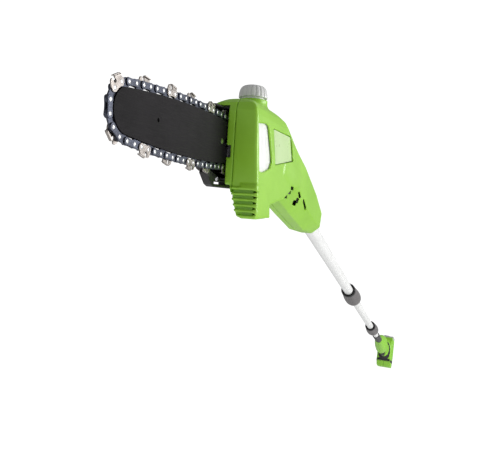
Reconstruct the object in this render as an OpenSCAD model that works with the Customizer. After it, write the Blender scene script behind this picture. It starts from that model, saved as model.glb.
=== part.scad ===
// Telescoping cordless pole saw, held at the rear grip.
// +X runs along the pole from the grip to the saw head, +Z is up and +Y is the motor side.
// The origin is on the pole's axis, at the middle of the rubber grip.

/* [Saw head] */
// Distance along the pole from the grip's middle to the saw head's own origin
head_x = 1753.5; // [1700:0.5:1800]
// Height of the saw head's origin above the pole's axis
head_z = -18.1; // [-20:0.1:-16]
// Angle by which the guide bar dips below the line of the pole
bar_dip = 20.5; // [18:0.5:23]
// Sideways distance from the pole's axis to the middle plane of the guide bar
bar_offset = 9.5; // [9:0.1:10]
// Thickness of the saw head's outer plastic walls
shell_wall = 2.5; // [2:0.1:3]

/* [Bar and chain] */
// Average distance between neighbouring chain rivets
rivet_pitch = 9.525; // [9.5:0.005:9.55]
// Number of drive links in the chain loop
drive_links = 33; // [33:1:33]
// Radius of the rivets' path round the drive sprocket
sprocket_r = 18.4; // [18.3:0.1:18.5]
// Radius of the rivets' path round the bar nose
nose_r = 20.5; // [20.4:0.1:20.6]
// Position of the drive sprocket along the bar
sprocket_x = -28; // [-28.5:0.1:-27.5]
// Position of the nose sprocket along the bar
nose_x = 224.6; // [224.4:0.1:224.8]
// Radius of the gentle curve of the bar's long edges, measured at the rivets
bar_curve_r = 1100; // [1000:10:1200]
// Thickness of the guide bar
bar_t = 4; // [3.8:0.1:4]
// Thickness of the drive links
link_t = 1.3; // [1.2:0.05:1.3]

/* [Drive] */
// Number of teeth on the motor pinion
pinion_teeth = 10; // [10:1:10]
// Number of teeth on the crown gear
crown_teeth = 42; // [42:1:42]
// Outside radius of the motor can
motor_r = 20.5; // [20:0.1:20.6]
// Length of the motor can
motor_len = 62; // [58:1:62]

/* [Pole] */
// Outside diameter of the upper tube
tube_od = 23; // [22.8:0.1:23.2]
// Wall thickness of all three tubes
tube_wall = 0.8; // [0.7:0.05:0.9]
// Radial gap between one tube and the next
tube_gap = 0.05; // [0.02:0.01:0.1]
// Position of the open front rim of the upper twist collar
upper_collar_x = 931; // [900:1:960]
// Position of the open front rim of the lower twist collar
lower_collar_x = 321; // [300:1:340]
// Radius of a twist collar at its open rim
collar_rim_r = 17.8; // [17:0.1:18.5]
// Largest radius of a twist collar
collar_max_r = 21.5; // [20:0.1:22]

/* [Handle and battery] */
// Length of the rubber grip
grip_len = 146; // [140:1:150]
// Outside radius of the rubber grip
grip_r = 13.5; // [13:0.1:14]
// Half width of the battery pack
pack_half_w = 37; // [36:0.5:38]

/* [Hidden] */
$fn = 64;
big = 400;
head_y = -bar_offset;
fit = 0.05;
r1 = tube_od / 2;
r1i = r1 - tube_wall;
r2 = r1i - tube_gap;
r2i = r2 - tube_wall;
r3 = r2i - tube_gap;
r3i = r3 - tube_wall;
collet_r = 14.5;
shaft_x = head_x + sprocket_x * cos(bar_dip);
shaft_z = head_z - sprocket_x * sin(bar_dip);
shaft_r = 5;
split_y = 1.1;
side_y = 36;
rivets = 2 * drive_links;

// Places a child drawn in the saw head's frame: x along the bar, y to the motor side, z up across the bar.
module in_head() {
    translate([head_x, head_y, head_z]) rotate([0, bar_dip, 0]) children();
}

// Places a child drawn about the motor's axis, with x = 0 at the output shaft's axis.
module on_motor() {
    translate([shaft_x, 0, shaft_z]) children();
}

// A cylinder along X from x0 to x1.
module rod_x(x0, x1, r) {
    translate([x0, 0, 0]) rotate([0, 90, 0]) cylinder(r = r, h = x1 - x0);
}

// A tube along X from x0 to x1.
module pipe_x(x0, x1, r_out, r_in) {
    difference() {
        rod_x(x0, x1, r_out);
        rod_x(x0 - 1, x1 + 1, r_in);
    }
}

// A cylinder along Y from y0 to y1 at the point (x, z).
module rod_y(x, z, y0, y1, r) {
    translate([x, y1, z]) rotate([90, 0, 0]) cylinder(r = r, h = y1 - y0);
}

// A box between two corners.
module block(low, high) {
    translate(low) cube(high - low);
}

// A flat outline of (x, z) points, as thick as from y0 to y1.
module slab_y(y0, y1) {
    translate([0, y1, 0]) rotate([90, 0, 0]) linear_extrude(y1 - y0) children();
}

// ---- path of the chain's rivets: two arcs round the sprockets, joined by two long gentle arcs ----

curve_x = ((nose_x ^ 2 - sprocket_x ^ 2) - ((bar_curve_r - nose_r) ^ 2 - (bar_curve_r - sprocket_r) ^ 2))
    / (2 * (nose_x - sprocket_x));
curve_z = sqrt((bar_curve_r - sprocket_r) ^ 2 - (curve_x - sprocket_x) ^ 2);
angle_back = atan2(curve_z, sprocket_x - curve_x);
angle_front = atan2(curve_z, nose_x - curve_x);
arc_long = bar_curve_r * (angle_back - angle_front) * PI / 180;
arc_nose = nose_r * 2 * angle_front * PI / 180;
arc_sprocket = sprocket_r * 2 * (180 - angle_back) * PI / 180;
loop_length = 2 * arc_long + arc_nose + arc_sprocket;

// Point at the distance d along the loop, starting where the upper long arc leaves the sprocket.
function path(d) =
    d < arc_long
    ? let (a = angle_back - d / bar_curve_r * 180 / PI)
        [curve_x + bar_curve_r * cos(a), bar_curve_r * sin(a) - curve_z]
    : d < arc_long + arc_nose
    ? let (a = angle_front - (d - arc_long) / nose_r * 180 / PI)
        [nose_x + nose_r * cos(a), nose_r * sin(a)]
    : d < 2 * arc_long + arc_nose
    ? let (a = -angle_front - (d - arc_long - arc_nose) / bar_curve_r * 180 / PI)
        [curve_x + bar_curve_r * cos(a), bar_curve_r * sin(a) + curve_z]
    : let (a = -angle_back - (d - 2 * arc_long - arc_nose) / sprocket_r * 180 / PI)
        [sprocket_x + sprocket_r * cos(a), sprocket_r * sin(a)];

function rivet_at(k) = path((k + 0.75) % rivets * loop_length / rivets);

// Places a child on the link from rivet k to rivet k + 1, with x along the link and z outwards.
module on_link(k) {
    a = rivet_at(k);
    b = rivet_at(k + 1);
    translate([(a[0] + b[0]) / 2, 0, (a[1] + b[1]) / 2])
        rotate([0, -atan2(b[1] - a[1], b[0] - a[0]), 0]) children();
}

// ---- guide bar ----

edge_drop = 4;
pin_x = 59;
stud_x = 34;
stud_r = 4;
groove_depth = 5.2;
groove_t = link_t + 0.2;

// The bar's outline, inset from the rivets' path, between two sides.
module bar_blank(inset, y0, y1) {
    long_r = bar_curve_r - inset;
    intersection() {
        rod_y(curve_x, -curve_z, y0, y1, long_r, $fn = 720);
        rod_y(curve_x, curve_z, y0, y1, long_r, $fn = 720);
        block([6, y0, -40], [nose_x, y1, 40]);
    }
    rod_y(nose_x, 0, y0, y1, nose_r - inset);
}

module rounded_slot_y(x0, x1, z, r, y0, y1) {
    rod_y(x0 + r, z, y0, y1, r);
    rod_y(x1 - r, z, y0, y1, r);
    block([x0 + r, y0, z - r], [x1 - r, y1, z + r]);
}

module guide_bar() color([0.12, 0.11, 0.12]) in_head() {
    difference() {
        bar_blank(edge_drop, -bar_t / 2, bar_t / 2);
        difference() {
            bar_blank(edge_drop - 1, -groove_t / 2, groove_t / 2);
            difference() {
                bar_blank(edge_drop + groove_depth, -bar_t, bar_t);
                rod_y(nose_x, 0, -bar_t, bar_t, nose_r - edge_drop + 1);
            }
            rod_y(nose_x, 0, -bar_t, bar_t, 4.9);
        }
        rounded_slot_y(12, 52, 0, 4.15, -bar_t, bar_t);
        rod_y(pin_x, 0, -bar_t, bar_t, 2.8);
        rod_y(183, 0.6, -bar_t, bar_t, 1.6);
    }
}

module nose_sprocket() color([0.45, 0.45, 0.47]) in_head() {
    star_r = nose_r - 9.2;
    difference() {
        rod_y(nose_x, 0, -0.6, 0.6, star_r);
        rod_y(nose_x, 0, -1, 1, 4.9 + fit);
        for (i = [0:6]) rod_y(nose_x + (star_r + 1.2) * cos(i * 360 / 7),
            (star_r + 1.2) * sin(i * 360 / 7), -1, 1, 2.4);
    }
}

// ---- chain ----

plate_h = 3.3;
strap_t = 1.05;
strap_y = link_t / 2 + 0.03;

// A plate with round ends over the link's two rivets.
module link_plate(y0, y1) {
    half = rivet_pitch / 2 - 0.05;
    rod_y(-half, 0, y0, y1, plate_h);
    rod_y(half, 0, y0, y1, plate_h);
    block([-half, y0, -plate_h + 0.3], [half, y1, plate_h - 0.3]);
}

module drive_link() {
    link_plate(-link_t / 2, link_t / 2);
    slab_y(-link_t / 2, link_t / 2)
        polygon([[-3.9, -1], [3.9, -1], [3.2, -5], [1.1, -8.1], [-2.1, -8.1], [-3.4, -5]]);
}

module drive_links() color([0.24, 0.25, 0.29]) in_head() {
    for (i = [0:drive_links - 1]) on_link(2 * i) drive_link();
}

// Every second outer plate of each four is a cutter, on alternate sides.
function cutter_side(i) = i % 4 == 1 ? 1 : i % 4 == 3 ? -1 : 0;

module tie_straps() color([0.27, 0.28, 0.32]) in_head() {
    for (i = [0:drive_links - 1], side = [-1, 1]) if (cutter_side(i) != side) {
        y0 = side > 0 ? strap_y : -strap_y - strap_t;
        on_link(2 * i + 1) link_plate(y0, y0 + strap_t);
    }
}

// A cutter: side plate, top plate leaning over the link and a depth gauge ahead of it.
module cutter(side) {
    y0 = side > 0 ? strap_y : -strap_y - strap_t;
    link_plate(y0, y0 + strap_t);
    slab_y(y0, y0 + strap_t) {
        polygon([[-6.9, 1], [1.6, 1], [1.2, 7.2], [-6.4, 5.6]]);
        polygon([[3.2, 1], [7.6, 1], [7.2, 4.4], [6, 6.1], [4.4, 6.3], [3.6, 4.8]]);
    }
    top_low = side > 0 ? -0.6 : -strap_y - strap_t - 0.7;
    top_high = side > 0 ? strap_y + strap_t + 0.7 : 0.6;
    slab_y(top_low, top_high) polygon([[-6.6, 4.8], [1.3, 6.2], [1.2, 7.2], [-6.4, 5.7]]);
}

module cutters() color([0.62, 0.6, 0.58]) in_head() {
    for (i = [0:drive_links - 1]) if (cutter_side(i) != 0) on_link(2 * i + 1) cutter(cutter_side(i));
}

module chain_rivets() color([0.8, 0.8, 0.8]) in_head() {
    for (k = [0:rivets - 1]) {
        p = rivet_at(k);
        rod_y(p[0], p[1], -strap_y - strap_t - 0.35, strap_y + strap_t + 0.35, 1.6);
    }
}

// ---- drive: sprocket, output shaft, gears ----

module sprocket_plate(y0, y1) {
    lobe_r = sprocket_r - 4.2;
    difference() {
        rod_y(sprocket_x, 0, y0, y1, lobe_r);
        for (i = [0:5]) rod_y(sprocket_x + (lobe_r + 1.6) * cos(i * 60 + 30),
            (lobe_r + 1.6) * sin(i * 60 + 30), y0 - 1, y1 + 1, 3);
    }
}

module drive_sprocket() color([0.5, 0.5, 0.52]) in_head() {
    difference() {
        union() {
            sprocket_plate(-3.4, -1);
            sprocket_plate(1, 3.4);
            rod_y(sprocket_x, 0, -4, 4, 9.2);
        }
        rod_y(sprocket_x, 0, -10, 10, shaft_r + 0.02);
    }
}

module sprocket_clip() color([0.3, 0.3, 0.32]) in_head() {
    difference() {
        rod_y(sprocket_x, 0, -5.4, -4.2, 8);
        rod_y(sprocket_x, 0, -10, 10, shaft_r + 0.02);
        block([sprocket_x - 1.6, -10, -12], [sprocket_x + 1.6, 10, 0]);
    }
}

module output_shaft() color([0.66, 0.66, 0.68]) in_head() {
    rod_y(sprocket_x, 0, -6.6, 26, shaft_r);
}

module output_bearing(y0, y1) {
    difference() {
        rod_y(sprocket_x, 0, y0, y1, 9.5);
        rod_y(sprocket_x, 0, y0 - 1, y1 + 1, shaft_r + fit);
    }
}

module output_bearings() color([0.7, 0.7, 0.72]) in_head() {
    output_bearing(5, 10);
    output_bearing(21, 26);
}

crown_y = bar_offset + 3.45;
pinion_tunnel_r = 4.8;

module crown_gear() color([0.55, 0.55, 0.57]) in_head() {
    difference() {
        union() {
            rod_y(sprocket_x, 0, crown_y + 1.2, 20, 20);
            rod_y(sprocket_x, 0, crown_y + 1.2, 20.8, 8);
            translate([sprocket_x, 0, 0])
                for (i = [0:crown_teeth - 1]) rotate([0, (i + 0.5) * 360 / crown_teeth - bar_dip, 0])
                    block([-18.3, crown_y, -0.36], [-15.3, crown_y + 1.7, 0.36]);
        }
        rod_y(sprocket_x, 0, 0, 40, shaft_r + 0.02);
    }
}

module motor_pinion() color([0.72, 0.7, 0.66]) on_motor() {
    difference() {
        union() {
            rod_x(-18.6, -15, 3.15);
            for (i = [0:pinion_teeth - 1]) rotate([i * 360 / pinion_teeth, 0, 0])
                translate([-18.6, 0, 0]) rotate([90, 0, 90]) linear_extrude(3.6)
                    polygon([[2.5, -0.5], [4.45, -0.24], [4.45, 0.24], [2.5, 0.5]]);
        }
        rod_x(-30, 0, 2.02);
    }
}

module gear_case() color([0.68, 0.69, 0.7]) difference() {
    in_head() {
        rod_y(sprocket_x, 0, 4.3, crown_y - 0.3, 26);
        block([-6, 3.2, -16], [43, 9, 16]);
        block([-20, 4.3, -16], [0, 9, 16]);
    }
    in_head() {
        rod_y(sprocket_x, 0, 3, 10, 9.52);
        rod_y(sprocket_x, 0, 9, 20, shaft_r + 1);
        rod_y(sprocket_x, 0, 11, 20, 22);
        rod_y(stud_x, 0, 0, 20, stud_r + 0.02);
    }
    on_motor() rod_x(-40, -9.8, pinion_tunnel_r);
}

module gear_cover() color([0.68, 0.69, 0.7]) difference() {
    in_head() rod_y(sprocket_x, 0, crown_y - 0.3, 28, 26);
    in_head() {
        rod_y(sprocket_x, 0, 0, 20.9, 22);
        rod_y(sprocket_x, 0, 20, 26.2, 9.52);
    }
    on_motor() rod_x(-40, -9.8, pinion_tunnel_r);
}

// ---- motor ----

motor_front = -43;
motor_back = motor_front - motor_len;

module motor_can() color([0.42, 0.43, 0.45]) on_motor() {
    difference() {
        rod_x(motor_back, motor_front, motor_r);
        rod_x(motor_back - 1, motor_front - 2, motor_r - 1.5);
        rod_x(motor_front - 5, motor_front + 1, 4);
    }
    pipe_x(motor_front - 7, motor_front - 2, 10, 8);
}

module motor_end_cap() color([0.15, 0.15, 0.16]) on_motor() {
    difference() {
        rod_x(motor_back - 5, motor_back, motor_r);
        rod_x(motor_back - 3, motor_back + 1, 8);
        rod_x(motor_back - 8, motor_back + 1, 4);
    }
}

module motor_magnets() color([0.22, 0.22, 0.23]) on_motor() {
    for (side = [-1, 1]) intersection() {
        pipe_x(motor_back + 16, motor_front - 9, motor_r - 1.5, 15);
        translate([0, side * 25, 0]) block([-big, -20, -14], [big, 20, 14]);
    }
}

module armature() color([0.6, 0.42, 0.25]) on_motor() {
    rod_x(motor_back - 14, -14.6, 2);
    difference() {
        rod_x(motor_back + 20, motor_front - 13, 13.6);
        for (i = [0:11]) rotate([i * 30, 0, 0]) block([-big, 9.5, -0.9], [big, 20, 0.9]);
    }
    rod_x(motor_back + 6, motor_back + 16, 7);
    rod_x(motor_back + 16, motor_back + 20, 10);
    rod_x(motor_front - 13, motor_front - 8, 9);
}

module motor_bearings() color([0.7, 0.7, 0.72]) on_motor() {
    pipe_x(motor_front - 7, motor_front - 2, 7.98, 2 + fit);
    pipe_x(motor_back - 3, motor_back, 7.98, 2 + fit);
}

module carbon_brushes() color([0.2, 0.2, 0.2]) on_motor() {
    for (side = [-1, 1]) translate([0, 0, side * 13])
        block([motor_back + 8, -3, -5.6], [motor_back + 14, 3, 5.6]);
}

module cooling_fan() color([0.1, 0.1, 0.11]) on_motor() {
    fan_back = motor_back - 13;
    difference() {
        union() {
            rod_x(fan_back, fan_back + 1.5, 17.5);
            rod_x(fan_back, fan_back + 6, 6);
            for (i = [0:8]) rotate([i * 40, 0, 0]) block([fan_back, 5, -0.7], [fan_back + 6, 17, 0.7]);
        }
        rod_x(-big, big, 2.02);
    }
}

// ---- oil ----

cap_x = -3;
cap_y = bar_offset;
neck_r = 13;
neck_top = 58.5;

tank_gap = 0.3;
filler_r = 10.5;
module oil_tank() color([0.95, 0.95, 0.93, 0.8]) difference() {
    union() {
        intersection() {
            head_block(-14, shell_wall + 0.5);
            in_head() {
                block([-32, 12, 30], [60, 40, 60]);
                block([-20, cap_y - 12, 30], [14, 13, 60]);
                block([6, 29.2, -33], [60, 40, 31]);
            }
        }
        in_head() translate([cap_x, cap_y, 36]) cylinder(r = neck_r, h = neck_top - 36);
    }
    bar_recess(shell_wall + tank_gap);
    intersection() {
        head_block(-14, shell_wall + 2.3);
        in_head() {
            block([-30, 14, 32], [60, 40, 60]);
            block([8, 30.6, -31], [60, 40, 33]);
        }
    }
    difference() {
        in_head() translate([cap_x, cap_y, 33]) cylinder(r = filler_r, h = 40);
        bar_recess(2 * shell_wall + tank_gap);
    }
}

module cap_seal() color([0.1, 0.1, 0.1]) in_head() translate([cap_x, cap_y, neck_top + 0.1]) {
    difference() {
        cylinder(r = 12.6, h = 1.6);
        translate([0, 0, -1]) cylinder(r = 9, h = 4);
    }
}

module oil_cap() color([0.78, 0.78, 0.76]) in_head() translate([cap_x, cap_y, neck_top]) {
    difference() {
        union() {
            translate([0, 0, -4]) cylinder(r = 16, h = 14);
            translate([0, 0, 10]) cylinder(r1 = 16, r2 = 13.5, h = 2.5);
        }
        translate([0, 0, -5]) cylinder(r = neck_r + 0.1, h = 7);
        for (i = [0:17]) rotate([0, 0, i * 20]) translate([16.6, 0, -6]) cylinder(r = 1.4, h = 13);
    }
}

module oil_pump() color([0.2, 0.2, 0.22]) in_head() {
    block([-71, 12, 10], [-55, 24, 22]);
    rod_y(-64, 16, 24, 29, 4);
}

module oil_line() color([0.85, 0.8, 0.6]) in_head() translate([-58, 18, 33]) {
    translate([0, 0, -10.9]) cylinder(r = 2, h = 10.9);
    sphere(r = 2);
    rotate([0, 90, 0]) cylinder(r = 2, h = 25.9);
}

// ---- saw head casing ----

nose_face = 47;
rib_face = 50;

// Side outline of the block that holds the tank and the gears.
module head_outline() {
    polygon([[nose_face, -44], [nose_face, 34], [44, 42], [38, 48], [22, 51], [-6, 51], [-24, 46], [-60, 38], [-80, 25],
        [-100, 10], [-118, -2], [-108, -34], [-50, -54], [4, -62], [4, -76], [44, -76], [rib_face, -71],
        [rib_face, -44]]);
}

// Front outline of the same block, seen along the bar: (y, z) points with a rounded top.
module front_outline(low_y, inset) {
    polygon(concat(
        [[low_y + inset, -76 + inset], [side_y - inset, -76 + inset]],
        [for (a = [0:15:180]) [
            (side_y + low_y) / 2 + ((side_y - low_y) / 2 - inset) * cos(a),
            34 + (15 - inset) * sin(a)]]));
}

module head_block(low_y, inset) in_head() intersection() {
    slab_y(low_y + inset, side_y - inset) offset(delta = -inset) head_outline();
    rotate([90, 0, 90]) translate([0, 0, -200]) linear_extrude(big) front_outline(low_y, inset);
}

// One eight-sided slice of the tapering tail, at x, reaching y0 to y1 and z0 to z1.
module tail_slice(x, y0, y1, z0, z1, inset) {
    cut_y = (y1 - y0) * 0.28;
    cut_z = (z1 - z0) * 0.24;
    translate([x, 0, 0]) rotate([90, 0, 90]) linear_extrude(0.5) offset(delta = -inset)
        polygon([[y0 + cut_y, z0], [y1 - cut_y, z0], [y1, z0 + cut_z], [y1, z1 - cut_z],
            [y1 - cut_y, z1], [y0 + cut_y, z1], [y0, z1 - cut_z], [y0, z0 + cut_z]]);
}

module tail(inset) {
    hull() {
        tail_slice(1408 + inset, -16, 16, -16, 16, inset);
        tail_slice(1456, -19, 21, -25, 26, inset);
        tail_slice(1524, -20, 27, -38, 41, inset);
    }
    hull() {
        tail_slice(1524, -20, 27, -38, 41, inset);
        tail_slice(1610, -20, 29, -42, 47, inset);
        tail_slice(1690, -20, 27, -44, 47, inset);
    }
}

// The bulge round the motor: a spindle with an arc for its side.
bulge_mid = -80;
bulge_arc = 140;
bulge_r = 29;
module motor_bulge(inset) on_motor() {
    translate([bulge_mid, 0, 0]) rotate([0, 90, 0]) rotate_extrude($fn = 96) intersection() {
        translate([bulge_r - bulge_arc, 0]) circle(r = bulge_arc - inset, $fn = 240);
        translate([0, -big]) square([60, 2 * big]);
    }
}

screw_spots = [[1598, 20], [1598, -19], [1490, 18], [1490, -18]];

// Outside of the casing, or its hollow when inset by the wall.
module head_solid(inset) {
    head_block(-14, inset);
    tail(inset);
    motor_bulge(inset);
}

module head_bosses() intersection() {
    for (p = screw_spots) rod_y(p[0], p[1], -19, 28, 5.4);
    head_solid(0.3);
}

module head_shell() {
    difference() {
        union() {
            difference() {
                head_solid(0);
                head_solid(shell_wall);
            }
            head_bosses();
            pipe_x(1410, 1440, 15, r1 + 0.1);
        }
        rod_x(1400, 1450, r1 + 0.1);
        for (p = screw_spots) rod_y(p[0], p[1], -40, 20, 2.1);
        for (p = screw_spots) rod_y(p[0], p[1], -40, -15.5, 3.8);
    }
}

// Slots for cooling air in the motor bulge: (x, z) of each slot's middle.
vents = [[1671, -36], [1660, -27], [1649, -18], [1629, -30], [1618, -20], [1607, -8]];

module head_shell_right() color([0.56, 0.83, 0.2]) difference() {
    intersection() {
        head_shell();
        block([1300, split_y, -150], [1900, 60, 120]);
    }
    in_head() {
        rounded_slot_y(9, 42, 21 - 8, 8, 30, 40);
        rounded_slot_y(9, 42, -28 + 8, 8, 30, 40);
        block([9, 30, -20], [42, 40, 13]);
        translate([cap_x, cap_y, 30]) cylinder(r = neck_r + 0.3, h = 30);
        for (i = [0:4]) block([nose_face - 1, 12, -49.4 - i * 6], [rib_face + 1, side_y - 8, -46 - i * 6]);
        slab_y(side_y, side_y + 6) offset(delta = 0.4) polygon(label_outline);
    }
    for (p = vents) translate([p[0], 30, p[1]]) rotate([0, 40, 0]) block([-3, -12, -1.6], [3, 12, 1.6]);
    translate([1572, 20, -14]) rotate([0, -10, 0]) block([-12, -10, -1.4], [12, 12, 1.4]);
}

// The recess on the far side for the bar and the sprocket, grown by a margin.
module bar_recess(margin) in_head() {
    block([-58 - margin, -60, -120], [120, 4.6 + margin, 38.6 + margin]);
}

module head_shell_left() color([0.56, 0.83, 0.2]) difference() {
    union() {
        intersection() {
            head_shell();
            block([1300, -60, -150], [1900, split_y, 120]);
        }
        intersection() {
            head_block(-14, 1);
            bar_recess(shell_wall - 0.1);
        }
    }
    bar_recess(0);
    in_head() {
        rod_y(sprocket_x, 0, -30, 20, 26.1);
        block([-21, -30, -16.1], [43.1, 20, 16.1]);
        translate([cap_x, cap_y, 30]) cylinder(r = neck_r + 0.3, h = 30);
    }
}

label_outline = [[-3, 22], [-74, 22], [-82, -6], [-13, -16]];
module side_label() color([0.8, 0.93, 0.66]) in_head() {
    slab_y(side_y + 0.02, side_y + 0.4) polygon(label_outline);
}

// Cover over the chain and sprocket, on the far side of the bar.
module chain_cover() color([0.1, 0.1, 0.1]) in_head() difference() {
    union() {
        difference() {
            slab_y(-16, 4.4) polygon([[-57, -30], [-57, 30], [-50, 37], [64, 37], [92, 27], [94, 20], [94, -14],
                [78, -30], [46, -38], [-50, -38]]);
            slab_y(-13, 10) polygon([[-54.5, -29], [-54.5, 29], [-49, 34.6], [120, 34.6], [120, -35.6],
                [-49, -35.6]]);
            block([44, -4, -60], [120, 10, 60]);
        }
        rod_y(stud_x, 0, -14, -2.1, 9);
        block([78, -14, -6], [86, -5, 6]);
    }
    rod_y(stud_x, 0, -30, 20, stud_r + 0.1);
    translate([0, screw_y, 0]) rotate([0, 90, 0]) cylinder(r = 2.1 + fit, h = 120);
}

module branch_bumper() color([0.12, 0.12, 0.12]) in_head() {
    difference() {
        slab_y(-12, -4.1) polygon([[8, -38.1], [46, -38.1], [77, -30.2], [78, -33], [66, -44], [60, -46], [8, -46]]);
        rounded_slot_y(30, 60, -41.5, 1.4, -20, 10);
    }
    rod_y(68, -38, -4.1, -3.1, 1.8);
}

module bar_plate() color([0.6, 0.6, 0.6]) in_head() {
    difference() {
        block([-5.5, 2, -14], [43, 3.2, 14]);
        rod_y(stud_x, 0, -10, 10, stud_r + 0.1);
    }
}

module bar_stud() color([0.55, 0.55, 0.56]) in_head() {
    rod_y(stud_x, 0, -26, 9, stud_r);
}

module bar_nut() color([0.2, 0.2, 0.2]) in_head() {
    difference() {
        union() {
            rod_y(stud_x, 0, -24, -16.4, 7.5, $fn = 6);
            rod_y(stud_x, 0, -18, -16.4, 9);
        }
        rod_y(stud_x, 0, -40, 0, stud_r + fit);
    }
}

screw_y = -8.6;

module tension_screw() color([0.65, 0.65, 0.66]) in_head() translate([0, screw_y, 0]) {
    difference() {
        translate([54, 0, 0]) rotate([0, 90, 0]) cylinder(r = 2.1, h = 36);
        block([89, -3, -0.5], [91, 3, 0.5]);
    }
    translate([86.2, 0, 0]) rotate([0, 90, 0]) cylinder(r = 3.6, h = 1.6);
}

module tension_pin() color([0.75, 0.75, 0.76]) in_head() difference() {
    union() {
        rod_y(pin_x, 0, -6, 2.5, 2.5);
        block([pin_x - 4.5, -12.6, -5], [pin_x + 4.5, -4.6, 5]);
    }
    translate([0, screw_y, 0]) rotate([0, 90, 0]) cylinder(r = 2.1 + fit, h = 120);
}

module head_screws() color([0.25, 0.25, 0.26]) {
    for (p = screw_spots) {
        rod_y(p[0], p[1], -15.5, 19.5, 2);
        rod_y(p[0], p[1], -17.6, -15.5, 3.6);
    }
}

// ---- pole ----

module tube_clamp() color([0.2, 0.2, 0.21]) difference() {
    rod_x(1502, 1566, 15.4);
    rod_x(1400, 1600, r1 + 0.02);
    block([1490, -1, 0], [1580, 1, 30]);
}

module upper_tube() color([0.94, 0.94, 0.93]) {
    pipe_x(upper_collar_x - 81, 1570, r1, r1i);
}

// Split sleeve at a tube's end: held on the outer tube, its fingers grip the inner one.
module collet(rim_x, r_outer, r_inner) {
    end_x = rim_x - 81;
    difference() {
        rod_x(end_x - 26, rim_x - 4, collet_r);
        rod_x(end_x, rim_x, r_outer + 0.02);
        rod_x(end_x - 40, end_x + 1, r_inner + 0.06);
        for (i = [0:2]) rotate([i * 60, 0, 0]) block([end_x - 40, -20, -0.6], [end_x - 3, 20, 0.6]);
    }
}

// Twist collar: open rim towards the saw head, widest near its other end.
module collar(rim_x, r_inner) {
    difference() {
        translate([rim_x, 0, 0]) rotate([0, -90, 0]) rotate_extrude($fn = 96) polygon([
            [collet_r + fit, 0], [collar_rim_r, 0], [collar_rim_r + 0.6, 3], [collar_rim_r + 0.4, 20],
            [collar_rim_r + 1.6, 40], [collar_max_r - 0.6, 66], [collar_max_r, 84], [collar_max_r, 100],
            [collar_max_r - 1.6, 110], [collar_max_r - 5.5, 116], [r_inner + 0.1, 116], [r_inner + 0.1, 108],
            [collet_r + fit, 108]]);
    }
}

module upper_collet() color([0.14, 0.14, 0.15]) collet(upper_collar_x, r1, r2);
module upper_collar() color([0.36, 0.34, 0.34]) collar(upper_collar_x, r2);
module middle_tube() color([0.94, 0.94, 0.93]) pipe_x(lower_collar_x - 81, 1040, r2, r2i);
module lower_collet() color([0.14, 0.14, 0.15]) collet(lower_collar_x, r2, r3);
module lower_collar() color([0.36, 0.34, 0.34]) collar(lower_collar_x, r3);
module lower_tube() color([0.94, 0.94, 0.93]) pipe_x(-190, 655, r3, r3i);

// Coiled lead inside the tubes, as the space its turns fill.
module coiled_lead() color([0.08, 0.08, 0.08]) rod_x(-230, 1585, 6);

module grip_sleeve() color([0.2, 0.2, 0.2]) difference() {
    translate([-grip_len / 2, 0, 0]) rotate([0, 90, 0]) rotate_extrude($fn = 96) polygon([
        [r3 + 0.02, 0], [grip_r - 1, 0], [grip_r, 3], [grip_r, grip_len - 3], [grip_r - 0.8, grip_len],
        [r3 + 1.6, grip_len], [r3 + 0.02, grip_len - 6]]);
}

// ---- handle ----

// One oval slice of the handle at x, with half width ry and half height rz.
module handle_slice(x, ry, rz, inset) {
    translate([x, 0, 0]) rotate([90, 0, 90]) linear_extrude(0.5)
        scale([ry - inset, rz - inset]) circle(r = 1, $fn = 32);
}

dock_front = -452;
dock_back = -500;
dock_half = 33;
dock_low = -78;
dock_high = 64;

module dock_block(inset) {
    block([dock_back + inset, -dock_half + inset, dock_low + inset],
        [dock_front - inset, dock_half - inset, dock_high - inset]);
}

module handle_solid(inset) {
    hull() {
        handle_slice(-grip_len / 2 - 0.5 - inset, 15, 15, inset);
        handle_slice(-150, 22, 29, inset);
        handle_slice(-240, 27, 41, inset);
    }
    hull() {
        handle_slice(-240, 27, 41, inset);
        handle_slice(-330, 19, 25, inset);
    }
    hull() {
        handle_slice(-330, 19, 25, inset);
        handle_slice(-425, 19, 27, inset);
    }
}

module handle_shell() {
    difference() {
        union() {
            handle_solid(0);
            hull() {
                handle_slice(-425, 19, 27, 0);
                block([dock_front, -dock_half, -60], [dock_front + 1, dock_half, 52]);
            }
            dock_block(0);
        }
        handle_solid(shell_wall);
        dock_block(shell_wall);
        block([dock_front - 5, -16, -20], [-420, 16, 20]);
        rod_x(-120, 0, r3 + 0.02);
        block([-406, -7.8, -60], [-343, 7.8, -12]);
        translate([-352, 0, 0]) cylinder(r = 6 + fit, h = 60);
        for (p = handle_screw_spots) rod_y(p[0], p[1], -60, 60, 2.1);
    }
    difference() {
        for (p = handle_screw_spots) rod_y(p[0], p[1], -p[2], p[2], 3.6);
        for (p = handle_screw_spots) rod_y(p[0], p[1], -60, 60, 2.1);
    }
}

// Handle screws: x, z and the half width of the casing there.
handle_screw_spots = [[-150, -21, 14], [-240, 33, 13], [-240, -33, 13], [-476, 50, 32], [-476, -60, 32]];

module handle_shell_right() color([0.53, 0.8, 0.16]) intersection() {
    handle_shell();
    block([-600, 0, -100], [0, 60, 100]);
}

module handle_shell_left() color([0.53, 0.8, 0.16]) intersection() {
    handle_shell();
    block([-600, -60, -100], [0, 0, 100]);
}

module handle_screws() color([0.25, 0.25, 0.26]) {
    for (p = handle_screw_spots) rod_y(p[0], p[1], -p[2], p[2] - 2, 2);
}

pivot = [-349, -17];

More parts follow.
